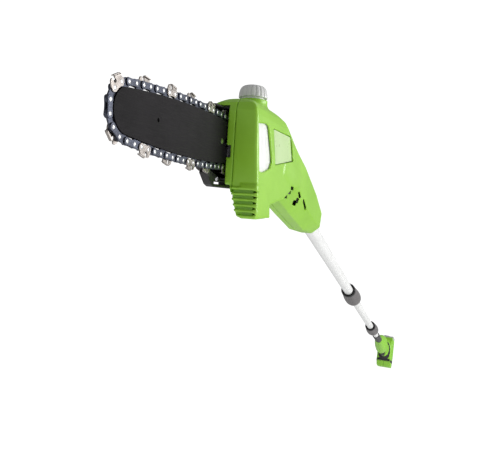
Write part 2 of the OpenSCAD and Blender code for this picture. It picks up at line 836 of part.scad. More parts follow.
module trigger() color([0.12, 0.12, 0.12]) difference() {
    union() {
        slab_y(-7, 7) polygon([[-353, -15], [-345.5, -15], [-345.5, -20], [-353, -33], [-372, -38.5], [-396, -35],
            [-401, -26], [-401, -15]]);
        rod_y(pivot[0], pivot[1], -7, 7, 4.2);
    }
    rod_y(pivot[0], pivot[1], -20, 20, 2 + fit);
}

module trigger_pin() color([0.6, 0.6, 0.6]) rod_y(pivot[0], pivot[1], -13, 13, 2);

// A coil spring along Z made of tube rings swept round a helix.
module coil_spring(r, wire, turns, height) {
    steps = turns * 14;
    sides = 6;
    points = [for (i = [0:steps], j = [0:sides - 1])
        let (a = i * 360 / 14, b = j * 360 / sides, q = r + wire * cos(b))
            [q * cos(a), q * sin(a), wire + i * (height - 2 * wire) / steps + wire * sin(b)]];
    faces = concat(
        [[for (j = [0:sides - 1]) j]],
        [[for (j = [sides - 1:-1:0]) steps * sides + j]],
        [for (i = [0:steps - 1], j = [0:sides - 1])
            let (n = (j + 1) % sides)
                [i * sides + j, (i + 1) * sides + j, (i + 1) * sides + n, i * sides + n]]);
    polyhedron(points = points, faces = faces, convexity = 8);
}

module springs() color([0.75, 0.75, 0.76]) {
    translate([-390, 0, -14.8]) coil_spring(3, 0.45, 5, 11.6);
    translate([-352, 0, 2.2]) coil_spring(3.6, 0.45, 4, 8.6);
}

module power_switch() color([0.16, 0.16, 0.17]) {
    block([-398, -8, -3], [-362, 8, 14]);
    block([-362, -8, -3], [-344, 8, 2]);
    block([-390, -16, 0], [-370, 16, 3]);
}

module control_board() color([0.1, 0.35, 0.2]) {
    block([-490, -25, -48], [-488, 25, 44]);
    block([-488, -14, -30], [-474, 14, -10]);
}

module lock_off_button() color([0.14, 0.14, 0.15]) translate([-352, 0, 0]) {
    translate([0, 0, 14]) cylinder(r = 6, h = 17);
    translate([0, 0, 11]) cylinder(r = 8, h = 3);
}

// ---- battery ----

rail_low = -58;
rail_high = 50;

module battery_rail() color([0.15, 0.15, 0.16]) {
    block([-505, -12, rail_low], [dock_back, 12, rail_high]);
    block([-509, -18, rail_low], [-505, 18, rail_high]);
}

pack_front = -501.2;
pack_back = -571;
pack_low = -79;
pack_high = 73;

module battery_case() color([0.5, 0.78, 0.16]) difference() {
    translate([0, 0, pack_low]) linear_extrude(pack_high - pack_low) polygon([
        [pack_front, -pack_half_w], [pack_front, pack_half_w], [pack_back + 8, pack_half_w],
        [pack_back, pack_half_w - 8], [pack_back, -pack_half_w + 8], [pack_back + 8, -pack_half_w]]);
    block([-505.3, -12.3, pack_low - 1], [pack_front + 1, 12.3, 52]);
    block([-509.4, -18.3, pack_low - 1], [-504.7, 18.3, 52]);
    block([-567, -34, -70], [-513, 34, 56]);
    block([-535, -12.2, 62], [-511, 12.2, 80]);
}

module battery_cells() color([0.2, 0.35, 0.6]) {
    for (i = [0:4], j = [0:1]) rod_y(-525 - j * 21, -58 + i * 24, -32.5, 32.5, 9.1);
    block([-566, -30, 50], [-514, 30, 52]);
}

module battery_latch() color([0.12, 0.12, 0.12]) {
    block([-534.8, -12, 66], [-511.2, 12, 76]);
}

head_shell_right();
head_shell_left();
chain_cover();
branch_bumper();
oil_tank();
cap_seal();
oil_cap();
guide_bar();
bar_plate();
bar_stud();
bar_nut();
tension_screw();
tension_pin();
nose_sprocket();
drive_links();
tie_straps();
cutters();
chain_rivets();
drive_sprocket();
sprocket_clip();
output_shaft();
output_bearings();
crown_gear();
motor_pinion();
gear_case();
gear_cover();
motor_can();
motor_end_cap();
motor_magnets();
armature();
motor_bearings();
carbon_brushes();
cooling_fan();
oil_pump();
oil_line();
head_screws();
side_label();
tube_clamp();
upper_tube();
upper_collet();
upper_collar();
middle_tube();
lower_collet();
lower_collar();
lower_tube();
coiled_lead();
grip_sleeve();
control_board();
handle_shell_right();
handle_shell_left();
handle_screws();
trigger();
trigger_pin();
springs();
power_switch();
lock_off_button();
battery_rail();
battery_case();
battery_cells();
battery_latch();
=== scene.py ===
"""Looks of a telescoping cordless pole saw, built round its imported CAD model.

Row frame: +X along the pole towards the saw head, +Y to the motor side of the bar, +Z up.
Shapes are worked out in millimetres and turned into metres when a mesh is made.
"""

import math

import bmesh
import bpy
import numpy as np
from mathutils import Matrix, Vector


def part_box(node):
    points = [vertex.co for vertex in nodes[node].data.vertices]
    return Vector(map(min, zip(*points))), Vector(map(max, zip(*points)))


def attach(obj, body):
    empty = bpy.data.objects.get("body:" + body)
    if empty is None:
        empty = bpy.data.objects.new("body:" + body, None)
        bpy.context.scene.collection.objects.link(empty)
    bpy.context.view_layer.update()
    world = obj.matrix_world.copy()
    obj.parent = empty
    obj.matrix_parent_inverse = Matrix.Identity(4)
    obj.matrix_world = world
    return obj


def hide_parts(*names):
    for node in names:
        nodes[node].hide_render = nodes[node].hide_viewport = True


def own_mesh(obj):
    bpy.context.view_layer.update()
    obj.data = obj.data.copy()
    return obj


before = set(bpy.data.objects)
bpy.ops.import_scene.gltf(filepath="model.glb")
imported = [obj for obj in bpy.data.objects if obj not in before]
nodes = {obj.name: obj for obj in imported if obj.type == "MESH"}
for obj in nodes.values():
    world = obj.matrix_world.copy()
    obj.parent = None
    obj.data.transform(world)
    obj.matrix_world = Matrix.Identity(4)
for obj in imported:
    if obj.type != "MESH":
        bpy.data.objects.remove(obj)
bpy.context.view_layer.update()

# ---- the saw head's own frame: x along the bar, y to the motor side, z up across the bar ----

HEAD = (1753.5, -9.5, -18.1)
DIP = math.radians(20.5)
CA, SA = math.cos(DIP), math.sin(DIP)
SHAFT_BACK = 28  # from the frame's origin back to the drive sprocket's axis
SHAFT_X = HEAD[0] - SHAFT_BACK * CA
SHAFT_Z = HEAD[2] + SHAFT_BACK * SA
SPLIT_Y = 1.1  # where the casing's halves meet, in the row frame
STUD_X = 34  # the bar's stud, in the head's frame
HEAD_M = (Matrix.Translation(Vector(HEAD) / 1000) @ Matrix.Rotation(DIP, 4, "Y"))


def to_head(x, y, z):
    """A place in the row frame, as the saw head's frame has it."""
    dx, dz = x - HEAD[0], z - HEAD[2]
    return dx * CA - dz * SA, y - HEAD[1], dx * SA + dz * CA


# ---- distance-field modelling ----

def smin(a, b, k):
    h = np.clip(0.5 + 0.5 * (b - a) / k, 0, 1)
    return b + (a - b) * h - k * h * (1 - h)


def smax(a, b, k):
    return -smin(-a, -b, k)


def d_box(p, low, high, r=0.0):
    q = [np.abs(p[i] - (low[i] + high[i]) / 2) - ((high[i] - low[i]) / 2 - r) for i in range(3)]
    out = np.sqrt(sum(np.maximum(v, 0) ** 2 for v in q))
    return out + np.minimum(np.maximum(np.maximum(q[0], q[1]), q[2]), 0) - r


def d_poly(a, b, pts):
    """Signed distance to a closed outline of (a, b) points."""
    best = np.full(a.shape, 1e9, np.float32)
    inside = np.zeros(a.shape, bool)
    for i, (ax, ay) in enumerate(pts):
        bx, by = pts[(i + 1) % len(pts)]
        ex, ey = bx - ax, by - ay
        wx, wy = a - ax, b - ay
        t = np.clip((wx * ex + wy * ey) / (ex * ex + ey * ey), 0, 1)
        best = np.minimum(best, (wx - ex * t) ** 2 + (wy - ey * t) ** 2)
        if ay != by:
            cross = ((ay <= b) & (by > b)) | ((by <= b) & (ay > b))
            inside ^= cross & (a < ax + (b - ay) * ex / ey)
    d = np.sqrt(best)
    return np.where(inside, -d, d)


def slab(d2, v, v0, v1, r=0.0):
    """An outline's distance d2 given thickness along v, with its edges rounded by r."""
    q = np.abs(v - (v0 + v1) / 2) - (v1 - v0) / 2
    if r <= 0:
        return np.maximum(d2, q)
    a, b = d2 + r, q + r
    return np.minimum(np.maximum(a, b), 0) + np.sqrt(np.maximum(a, 0) ** 2 + np.maximum(b, 0) ** 2) - r


def settle(f, verts, step):
    """Moves each vertex onto the surface along the field's slope."""
    e = step * 0.25
    for _ in range(2):
        x, y, z = (verts[:, i].copy() for i in range(3))
        d = f(x, y, z)
        g = np.stack([f(x + e, y, z) - f(x - e, y, z), f(x, y + e, z) - f(x, y - e, z),
                      f(x, y, z + e) - f(x, y, z - e)], 1) / (2 * e)
        size = np.maximum((g * g).sum(1), 0.2)
        verts = verts + np.clip(-(d / size)[:, None] * g, -0.4 * step, 0.4 * step)
    return verts


def surface_net(f, low, high, step):
    """Mesh (vertices, quads) of the zero surface of f, which takes three arrays in mm."""
    axes = [np.arange(low[i] - 2 * step, high[i] + 2 * step, step, dtype=np.float32) for i in range(3)]
    g = np.meshgrid(*axes, indexing="ij")
    v = f(g[0], g[1], g[2]).astype(np.float32)
    s = v < 0
    n = v.shape
    cells = tuple(k - 1 for k in n)
    acc = np.zeros(cells + (3,), np.float32)
    count = np.zeros(cells, np.float32)
    ids = np.full(cells, -1, np.int64)
    crossings = []
    for ax in range(3):
        a, b = [slice(None)] * 3, [slice(None)] * 3
        a[ax], b[ax] = slice(0, n[ax] - 1), slice(1, n[ax])
        hit = s[tuple(a)] != s[tuple(b)]
        idx = np.argwhere(hit)
        va, vb = v[tuple(a)][hit], v[tuple(b)][hit]
        others = [k for k in range(3) if k != ax]
        pos = idx.astype(np.float32)
        pos[:, ax] += va / (va - vb)
        for i in (0, -1):
            for j in (0, -1):
                cell = idx.copy()
                cell[:, others[0]] += i
                cell[:, others[1]] += j
                ok = ((cell >= 0) & (cell < np.array(cells))).all(1)
                c = cell[ok]
                np.add.at(acc, (c[:, 0], c[:, 1], c[:, 2]), pos[ok])
                np.add.at(count, (c[:, 0], c[:, 1], c[:, 2]), 1)
        crossings.append((ax, others, idx, va < 0))
    used = count > 0
    ids[used] = np.arange(used.sum())
    verts = acc[used] / count[used][:, None] * step + np.array([x[0] for x in axes], np.float32)
    quads = []
    for ax, others, idx, outward in crossings:
        ok = (idx[:, others[0]] > 0) & (idx[:, others[1]] > 0)
        idx, outward = idx[ok], outward[ok]
        corner = []
        for i, j in ((0, 0), (-1, 0), (-1, -1), (0, -1)):
            c = idx.copy()
            c[:, others[0]] += i
            c[:, others[1]] += j
            corner.append(ids[c[:, 0], c[:, 1], c[:, 2]])
        q = np.stack(corner, 1)
        turn = outward if ax == 1 else ~outward
        q[turn] = q[turn][:, ::-1]
        quads.append(q)
    return settle(f, verts, step), np.concatenate(quads)


# ---- pieces ----

def finish_piece(obj, body, replaced, material, name):
    """Gives a piece its name, material and body, and hides the CAD nodes that it stands for."""
    obj.name = name
    obj.data.name = name
    obj.data.materials.append(material)
    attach(obj, body)
    if replaced:
        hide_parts(*replaced)
    return obj


def mesh_piece(name, verts, faces, body, replaced, material):
    """A piece from arrays of vertices in mm and of faces."""
    mesh = bpy.data.meshes.new(name)
    verts = np.asarray(verts, np.float64) * 0.001
    mesh.from_pydata(verts.tolist(), [], faces.tolist())
    mesh.validate()
    mesh.update()
    obj = bpy.data.objects.new(name, mesh)
    bpy.context.scene.collection.objects.link(obj)
    finish_piece(obj, body, replaced, material, name)
    mesh.shade_smooth()
    return obj


def field_piece(name, f, low, high, step, body, slot, replaced, material, ratio=0.5, place=None):
    """A piece from a distance field, thinned where it is flat. place moves it into the row frame."""
    verts, quads = surface_net(f, low, high, step)
    if place:
        verts = place(verts)
    obj = mesh_piece(name, verts, quads, body, replaced, material)
    obj.modifiers.new("thin", "DECIMATE").ratio = ratio
    obj.modifiers.new("normals", "WEIGHTED_NORMAL").keep_sharp = True
    return obj


def from_head(verts):
    """Vertices in the saw head's frame, moved to the row frame."""
    x = verts[:, 0] * CA + verts[:, 2] * SA + HEAD[0]
    z = -verts[:, 0] * SA + verts[:, 2] * CA + HEAD[2]
    return np.stack([x, verts[:, 1] + HEAD[1], z], 1)


def head_piece(name, f, low, high, step, body, slot, replaced, material):
    """A field piece whose field is written in the saw head's frame."""
    return field_piece(name, f, low, high, step, body, slot, replaced, material, 0.6, from_head)


def bm_piece(name, bm, body, replaced, material, bevel=0.0, angle=30):
    """A piece from a bmesh in metres."""
    bmesh.ops.recalc_face_normals(bm, faces=bm.faces)
    mesh = bpy.data.meshes.new(name)
    bm.to_mesh(mesh)
    bm.free()
    obj = bpy.data.objects.new(name, mesh)
    bpy.context.scene.collection.objects.link(obj)
    finish_piece(obj, body, replaced, material, name)
    mesh.shade_smooth()
    mesh.set_sharp_from_angle(angle=math.radians(angle))
    if bevel:
        b = obj.modifiers.new("edges", "BEVEL")
        b.width = bevel / 1000
        b.segments = 2
        b.limit_method = "ANGLE"
        b.angle_limit = math.radians(angle)
        b.harden_normals = True
    return obj


def lathe(bm, profile, steps, axis_m=None, wave=None):
    """Turns (along, radius) points in mm about X. wave(a, along) scales the radius."""
    rings = []
    for i in range(steps):
        a = 2 * math.pi * i / steps
        ring = []
        for x, r in profile:
            k = wave(a, x) if wave else 1
            v = Vector((x, r * k * math.cos(a), r * k * math.sin(a))) / 1000
            ring.append(bm.verts.new(axis_m @ v if axis_m else v))
        rings.append(ring)
    n = len(profile)
    for i in range(steps):
        a, b = rings[i], rings[(i + 1) % steps]
        for j in range(n - 1):
            bm.faces.new((a[j], a[j + 1], b[j + 1], b[j]))
    return rings


def lathe_closed(bm, profile, steps, axis_m=None, wave=None):
    """As lathe, with the profile's last point joined to its first."""
    lathe(bm, profile + [profile[0]], steps, axis_m, wave)
    bmesh.ops.remove_doubles(bm, verts=bm.verts, dist=1e-7)


def extrude_outline(bm, pts, y0, y1, m=None, bevel=0.0):
    """A flat outline of (x, z) points in mm, thick from y0 to y1, moved by m and chamfered by bevel."""
    def ring(shrink, y):
        out = []
        n = len(pts)
        for i in range(n):
            p, q, r = Vector(pts[i - 1]), Vector(pts[i]), Vector(pts[(i + 1) % n])
            e1 = (q - p).normalized()
            e2 = (r - q).normalized()
            nrm = Vector((e1.y + e2.y, -(e1.x + e2.x)))
            k = 1 / max(0.5, (1 + e1.dot(e2)) / 2) if nrm.length else 1
            nrm = nrm.normalized() * shrink * math.sqrt(k)
            v = Vector(((q.x - nrm.x * sign) / 1000, y / 1000, (q.y - nrm.y * sign) / 1000))
            out.append(bm.verts.new(m @ v if m else v))
        return out
    area = sum(pts[i - 1][0] * pts[i][1] - pts[i][0] * pts[i - 1][1] for i in range(len(pts)))
    sign = 1 if area > 0 else -1
    rings = [ring(bevel, y0), ring(0, y0 + bevel), ring(0, y1 - bevel), ring(bevel, y1)] if bevel else [
        ring(0, y0), ring(0, y1)]
    for a, b in zip(rings, rings[1:]):
        for i in range(len(a)):
            j = (i + 1) % len(a)
            bm.faces.new((a[i], a[j], b[j], b[i]))
    bm.faces.new(rings[0])
    bm.faces.new(rings[-1])


def round_points(cx, cz, r, a0, a1, steps):
    return [(cx + r * math.cos(math.radians(a0 + (a1 - a0) * i / steps)),
             cz + r * math.sin(math.radians(a0 + (a1 - a0) * i / steps))) for i in range(steps + 1)]


# ---- materials ----

class Nodes:
    """A short way to write a material's nodes."""

    def __init__(self, name):
        self.mat = bpy.data.materials.new(name)
        self.mat.use_nodes = True
        self.t = self.mat.node_tree
        self.bsdf = self.t.nodes["Principled BSDF"]
        self.coord = self.t.nodes.new("ShaderNodeTexCoord").outputs["Object"]

    def add(self, kind, inputs=None, **props):
        n = self.t.nodes.new(kind)
        for k, v in props.items():
            setattr(n, k, v)
        for k, v in (inputs or {}).items():
            self.put(n.inputs[k], v)
        return n

    def put(self, socket, value):
        if isinstance(value, bpy.types.NodeSocket):
            self.t.links.new(value, socket)
        else:
            socket.default_value = value

    def noise(self, scale, detail=2.0, rough=0.5, stretch=None):
        v = self.coord
        if stretch:
            v = self.add("ShaderNodeMapping", {"Vector": v, "Scale": stretch}).outputs[0]
        return self.add("ShaderNodeTexNoise", {"Vector": v, "Scale": scale, "Detail": detail,
                                               "Roughness": rough, "Distortion": 0.0}).outputs["Fac"]

    def ramp(self, fac, stops):
        n = self.add("ShaderNodeValToRGB", {"Fac": fac})
        e = n.color_ramp.elements
        while len(e) < len(stops):
            e.new(0.5)
        for el, (pos, col) in zip(e, stops):
            el.position = pos
            el.color = tuple(col) + (1,) if len(col) == 3 else col
        return n.outputs["Color"]

    def math(self, op, a, b=0.0):
        n = self.add("ShaderNodeMath", operation=op)
        self.put(n.inputs[0], a)
        self.put(n.inputs[1], b)
        return n.outputs[0]

    def mix(self, fac, a, b):
        n = self.add("ShaderNodeMix", data_type="RGBA")
        self.put(n.inputs[0], fac)
        self.put(n.inputs[6], tuple(a) + (1,) if isinstance(a, tuple) and len(a) == 3 else a)
        self.put(n.inputs[7], tuple(b) + (1,) if isinstance(b, tuple) and len(b) == 3 else b)
        return n.outputs[2]

    def bump(self, height, strength, distance):
        self.put(self.bsdf.inputs["Normal"], self.add(
            "ShaderNodeBump", {"Height": height, "Strength": strength, "Distance": distance}).outputs[0])

    def set(self, **values):
        for k, v in values.items():
            self.put(self.bsdf.inputs[k.replace("_", " ")], v)
        return self


def grey(v):
    return (v, v, v)


def plastic(name, base, dark, light, rough=0.38, grain=900.0, grain_depth=0.00006, coat=0.0):
    """Moulded plastic: slight shade drift, fine spark-eroded grain, scuffed edges."""
    n = Nodes(name)
    drift = n.noise(14, 3)
    col = n.ramp(drift, [(0.3, dark), (0.52, base), (0.75, light)])
    geo = n.add("ShaderNodeNewGeometry")
    edge = n.ramp(geo.outputs["Pointiness"], [(0.5, (0, 0, 0)), (0.58, (1, 1, 1))])
    scuff = n.math("MULTIPLY", edge, n.ramp(n.noise(160, 4, 0.7), [(0.5, (0, 0, 0)), (0.7, (0.35,) * 3)]))
    n.set(Base_Color=n.mix(scuff, col, tuple(min(1, c * 1.25 + 0.05) for c in light)),
          Roughness=n.ramp(n.noise(40, 4, 0.6), [(0.3, grey(rough - 0.06)), (0.7, grey(rough + 0.08))]))
    n.bsdf.inputs["Specular IOR Level"].default_value = 0.5
    n.bsdf.inputs["Coat Weight"].default_value = coat
    n.bsdf.inputs["Coat Roughness"].default_value = 0.2
    fine, broad = n.math("MULTIPLY", n.noise(grain, 2, 0.6), 0.6), n.math("MULTIPLY", n.noise(30, 2), 1.6)
    h = n.math("ADD", fine, broad)
    n.bump(h, 0.35, grain_depth)
    return n.mat


def metal(name, base, dark, rough=0.3, stretch=(1, 1, 1), scale=300.0, bump=0.00004, metallic=1.0):
    """Metal with brushing or turning marks, small stains and rubbed edges."""
    n = Nodes(name)
    marks = n.noise(scale, 4, 0.65, stretch)
    stain = n.noise(45, 4, 0.6)
    col = n.ramp(stain, [(0.35, dark), (0.6, base)])
    geo = n.add("ShaderNodeNewGeometry")
    edge = n.ramp(geo.outputs["Pointiness"], [(0.51, (0, 0, 0)), (0.6, (1, 1, 1))])
    n.set(Base_Color=n.mix(n.math("MULTIPLY", edge, 0.6), col, tuple(min(1, c * 1.35 + 0.05) for c in base)),
          Roughness=n.ramp(marks, [(0.3, grey(rough - 0.1)), (0.7, grey(rough + 0.14))]))
    n.bsdf.inputs["Metallic"].default_value = metallic
    n.bump(marks, 0.3, bump)
    return n.mat


GREEN = plastic("side_green", (0.30, 0.62, 0.035), (0.27, 0.57, 0.028), (0.34, 0.67, 0.05), rough=0.4,
                coat=0.15)
GREEN_PACK = plastic("pack_green", (0.26, 0.60, 0.03), (0.23, 0.54, 0.022), (0.30, 0.66, 0.045), rough=0.42)
BLACK = plastic("black_plastic", (0.012, 0.011, 0.012), (0.008, 0.008, 0.009), (0.022, 0.021, 0.022),
                rough=0.46, grain=1400, grain_depth=0.00009)
CAP_GREY = plastic("cap_grey", (0.66, 0.66, 0.645), (0.58, 0.58, 0.565), (0.74, 0.74, 0.725), rough=0.34)
TUBE = plastic("tube_white", (0.88, 0.88, 0.865), (0.85, 0.85, 0.835), (0.9, 0.9, 0.89), rough=0.34,
               grain=2200, grain_depth=0.00001, coat=0.15)
STEEL = metal("bright_steel", (0.62, 0.62, 0.63), (0.46, 0.46, 0.47), 0.26)
GEAR = metal("gear_steel", (0.36, 0.36, 0.38), (0.22, 0.22, 0.24), 0.32)
LINK = metal("link_steel", (0.052, 0.058, 0.082), (0.02, 0.022, 0.032), 0.38, bump=0.00006, metallic=0.9)
CHROME = metal("cutter_chrome", (0.30, 0.275, 0.255), (0.16, 0.14, 0.13), 0.3)
CAST = metal("cast_case", (0.07, 0.07, 0.075), (0.045, 0.045, 0.05), 0.6, scale=700, bump=0.0001,
             metallic=0.5)
WINDING = metal("winding", (0.55, 0.26, 0.10), (0.30, 0.14, 0.06), 0.4, stretch=(1, 12, 12))
MAGNET = metal("magnet", (0.10, 0.10, 0.11), (0.06, 0.06, 0.065), 0.6, metallic=0.4)


def bar_material():
    """Black-coated bar: satin paint with fine scratches along the bar, worn lighter along them."""
    n = Nodes("bar_steel")
    turned = n.add("ShaderNodeMapping", {"Vector": n.coord, "Rotation": (0, -DIP, 0)}).outputs[0]
    fine = n.add("ShaderNodeMapping", {"Vector": turned, "Scale": (6, 90, 160)}).outputs[0]
    scratch = n.add("ShaderNodeTexNoise", {"Vector": fine, "Scale": 9.0, "Detail": 5.0,
                                           "Roughness": 0.7}).outputs["Fac"]
    col = n.ramp(n.noise(22, 4), [(0.3, (0.007, 0.006, 0.007)), (0.7, (0.014, 0.012, 0.014))])
    worn = n.ramp(scratch, [(0.66, (0, 0, 0)), (0.74, (0.35,) * 3)])
    n.set(Base_Color=n.mix(worn, col, (0.04, 0.037, 0.04)),
          Roughness=n.ramp(scratch, [(0.35, grey(0.5)), (0.7, grey(0.66))]))
    n.bsdf.inputs["Specular IOR Level"].default_value = 0.1
    n.bump(n.math("ADD", n.math("MULTIPLY", scratch, 0.5), n.noise(900, 2)), 0.2, 0.00004)
    return n.mat


def rubber(name, base, light, rough=0.72):
    """Soft moulded rubber or foam: fine flecks and a matt, slightly fuzzy surface."""
    n = Nodes(name)
    fleck = n.noise(700, 3, 0.7)
    n.set(Base_Color=n.ramp(fleck, [(0.35, base), (0.7, light)]),
          Roughness=n.ramp(n.noise(60, 3), [(0.3, grey(rough - 0.08)), (0.7, grey(rough + 0.1))]))
    n.bsdf.inputs["Sheen Weight"].default_value = 0.15
    n.bump(n.math("ADD", fleck, n.math("MULTIPLY", n.noise(1800, 2), 0.7)), 0.5, 0.00012)
    return n.mat


def tank_material():
    n = Nodes("tank")
    flow = n.noise(26, 3, 0.5, (1, 1, 2.5))
    n.set(Base_Color=n.ramp(flow, [(0.3, (0.84, 0.84, 0.82)), (0.7, (0.93, 0.93, 0.92))]),
          Roughness=n.ramp(n.noise(80, 3), [(0.3, grey(0.3)), (0.7, grey(0.42))]))
    n.bsdf.inputs["Subsurface Weight"].default_value = 0.35
    n.bsdf.inputs["Subsurface Radius"].default_value = (0.004, 0.004, 0.0035)
    n.bump(n.noise(900, 2), 0.2, 0.00004)
    return n.mat


def label_material():
    n = Nodes("label")
    n.set(Base_Color=n.ramp(n.noise(35, 3), [(0.3, (0.58, 0.79, 0.36)), (0.7, (0.63, 0.83, 0.42))]),
          Roughness=n.ramp(n.noise(120, 3), [(0.3, grey(0.26)), (0.7, grey(0.36))]))
    n.bsdf.inputs["Coat Weight"].default_value = 0.4
    n.bsdf.inputs["Coat Roughness"].default_value = 0.15
    n.bump(n.noise(60, 4), 0.15, 0.0001)
    return n.mat


BAR = bar_material()
TANK = tank_material()
LABEL = label_material()
COLLAR = rubber("collar_soft", (0.085, 0.076, 0.076), (0.125, 0.115, 0.115))
GRIP = rubber("grip_foam", (0.022, 0.022, 0.023), (0.045, 0.044, 0.045))
SEAL = rubber("seal_rubber", (0.02, 0.02, 0.02), (0.035, 0.035, 0.035))
HOSE = rubber("hose", (0.55, 0.47, 0.25), (0.64, 0.56, 0.33), rough=0.4)
LEAD = rubber("lead", (0.015, 0.015, 0.016), (0.03, 0.03, 0.03))
CARBON = rubber("carbon", (0.03, 0.03, 0.03), (0.06, 0.06, 0.06))
BOARD = plastic("board", (0.02, 0.16, 0.06), (0.015, 0.12, 0.05), (0.03, 0.2, 0.08))
CELL = plastic("cell", (0.04, 0.12, 0.32), (0.03, 0.1, 0.27), (0.06, 0.16, 0.38))

NODE_MATERIAL = {
    "bar_plate": STEEL, "bar_stud": STEEL, "tension_screw": STEEL, "tension_pin": STEEL,
    "nose_sprocket": GEAR, "drive_sprocket": GEAR, "sprocket_clip": STEEL, "output_shaft": STEEL,
    "output_bearings": STEEL,
    "crown_gear": GEAR, "motor_pinion": GEAR, "gear_case": CAST, "gear_cover": CAST, "motor_can": GEAR,
    "motor_end_cap": BLACK, "motor_magnets": MAGNET, "armature": WINDING, "motor_bearings": STEEL,
    "carbon_brushes": CARBON, "cooling_fan": BLACK, "oil_pump": BLACK, "oil_line": HOSE, "head_screws": STEEL,
    "tube_clamp": BLACK, "upper_collet": BLACK, "lower_collet": BLACK,
    "handle_screws": STEEL, "trigger_pin": STEEL, "power_switch": BLACK,
    "control_board": BOARD, "battery_rail": BLACK, "battery_cells": CELL, "cap_seal": SEAL, "guide_bar": BAR,
    "upper_tube": TUBE, "middle_tube": TUBE, "lower_tube": TUBE,
}
for node_name, material in NODE_MATERIAL.items():
    data = nodes[node_name].data
    data.materials.clear()
    data.materials.append(material)

# ---- saw head casing ----

WALL = 2.5
SIDE_Y = 36.0
CAP_X, CAP_Y = -3, 9.5  # the filler's axis in the head's frame
NECK_HOLE_R = 13.3
TUBE_HOLE_R, TUBE_HOLE_END = 11.7, 1475
HOLE_R = 26.1  # round the drive sprocket, in the left half
SIDE_OUTLINE = [(47, -44), (47.5, 0), (46.5, 34), (43, 42), (36, 47), (24, 49.5), (-6, 49.5), (-26, 46),
                (-60, 38), (-80, 25), (-100, 10), (-118, -2), (-108, -34), (-50, -54), (4, -62), (4, -76),
                (44, -76), (49, -71), (49, -45)]
FRONT_OUTLINE = [(-14, -76), (36.5, -76), (36.5, 30)] + round_points(11, 34, 25, 0, 180, 16)[1:]
# The round top is pressed down to a low arch.
FRONT_OUTLINE = [(y, z if z < 34 else 34 + (z - 34) * 0.6) for y, z in FRONT_OUTLINE]
# Tail slices: x, low y, high y, low z, high z.
TAIL = [(1462, -16.5, 25, -21, 25), (1524, -20, 27.5, -36, 38), (1610, -20, 28.5, -42, 46),
        (1700, -20, 27, -44, 45)]


def d_tail(x, y, z):
    s = np.array(TAIL, np.float32)
    y0, y1, z0, z1 = (np.interp(x, s[:, 0], s[:, i]).astype(np.float32) for i in range(1, 5))
    hy, hz = (y1 - y0) / 2, (z1 - z0) / 2
    a, b = np.abs(y - (y0 + y1) / 2) - hy, np.abs(z - (z0 + z1) / 2) - hz
    cy, cz = hy * 0.56, hz * 0.48
    diag = (a * cz + b * cy + cy * cz) / np.sqrt(cy * cy + cz * cz)
    d = smax(smax(a, b, 1.2), diag, 1.2)
    return smax(smax(d, TAIL[0][0] - x, 1.5), x - 1700, 1.0)


def d_bulge(x, y, z):
    r = np.sqrt(y * y + (z - SHAFT_Z) ** 2)
    dx = x - (SHAFT_X - 80)
    return np.sqrt((r + 111 - 0.3) ** 2 + dx * dx) - 139.7


# The slope by which the saw head's walls lean, and how far below its axis they cross the upright.
LEAN, LEAN_FROM = 0.06, 12


def leaned(y, z):
    return y + LEAN * (z + LEAN_FROM)


def from_filler(xh, yh):
    """Distance from the filler's axis."""
    return np.sqrt((xh - CAP_X) ** 2 + (yh - CAP_Y) ** 2)


def d_head_block(x, y, z):
    xh, yh, zh = to_head(x, y, z)
    yh = leaned(yh, zh)
    side = d_poly(xh, zh, SIDE_OUTLINE)
    front = d_poly(yh, zh, FRONT_OUTLINE)
    block = smax(side, front, 3.5)
    foot_side = (5.9 - (zh + 43) * 0.21 - yh) * 0.97
    foot_top = zh + 42.5
    return smax(block, -smax(-foot_side, foot_top, 1.5), 2.5)


def d_casing(x, y, z):
    block = d_head_block(x, y, z)
    xh, yh, zh = to_head(x, y, z)
    boss = np.maximum(from_filler(xh, yh) - 16.2, np.abs(zh - 42) - 10.5)
    body = smin(smin(block, boss, 4.0), d_tail(x, y, z), 5.0)
    return smin(body, d_bulge(x, y, z), 9.0)


WINDOW = [(42, 21), (15, 24), (9, 22.5), (6, 18), (-2.5, -9), (-2.5, -15), (4, -21.5), (27, -27.5), (40, -27)]
LABEL_OUTLINE = [(-8, 22), (-74, 22), (-82, -6), (-14, -16)]
RIBS, RIB_TOP, RIB_PITCH = 5, -48.6, 5.6  # the grooves across the foot
# Cooling vents: centre, half width, half height, tilt. The centres were worked out outside this file, with
# rays sent from the fitted camera through the photo's vents. Each vent is cut along that camera's view, whose
# right, up and back directions are SIGHT, so that it shows as a dark hole from there. Nothing shows which way
# the real vents point.
VENTS = [(1654.2, 19.5, -34.6, 2.0, 2.1, 0), (1654.2, 23.3, -28.7, 2.0, 2.1, 0),
         (1658.4, 27.6, -24.9, 1.9, 2.1, 0),
         (1620.7, 22.7, -29.8, 2.5, 3.2, -0.3), (1618.8, 25.3, -25.5, 1.9, 3.3, -0.3),
         (1621.7, 27.9, -18.7, 1.7, 3.9, 0.35), (1585.8, 27.5, -19.1, 1.7, 8.0, 0.42)]
SIGHT = ((-0.301, 0.937, 0.178), (0.328, -0.073, 0.942), (0.895, 0.342, -0.286))


def d_vent(x, y, z, vent):
    cx, cy, cz, wide, tall, tilt = vent
    a, b, c = ((x - cx) * v[0] + (y - cy) * v[1] + (z - cz) * v[2] for v in SIGHT)
    ct, st = math.cos(tilt), math.sin(tilt)
    return d_box((a * ct + b * st, b * ct - a * st, c), (-wide, -tall, -12), (wide, tall, 12), 0.5)


SEAM = 0.16  # each half stops this far short of the split


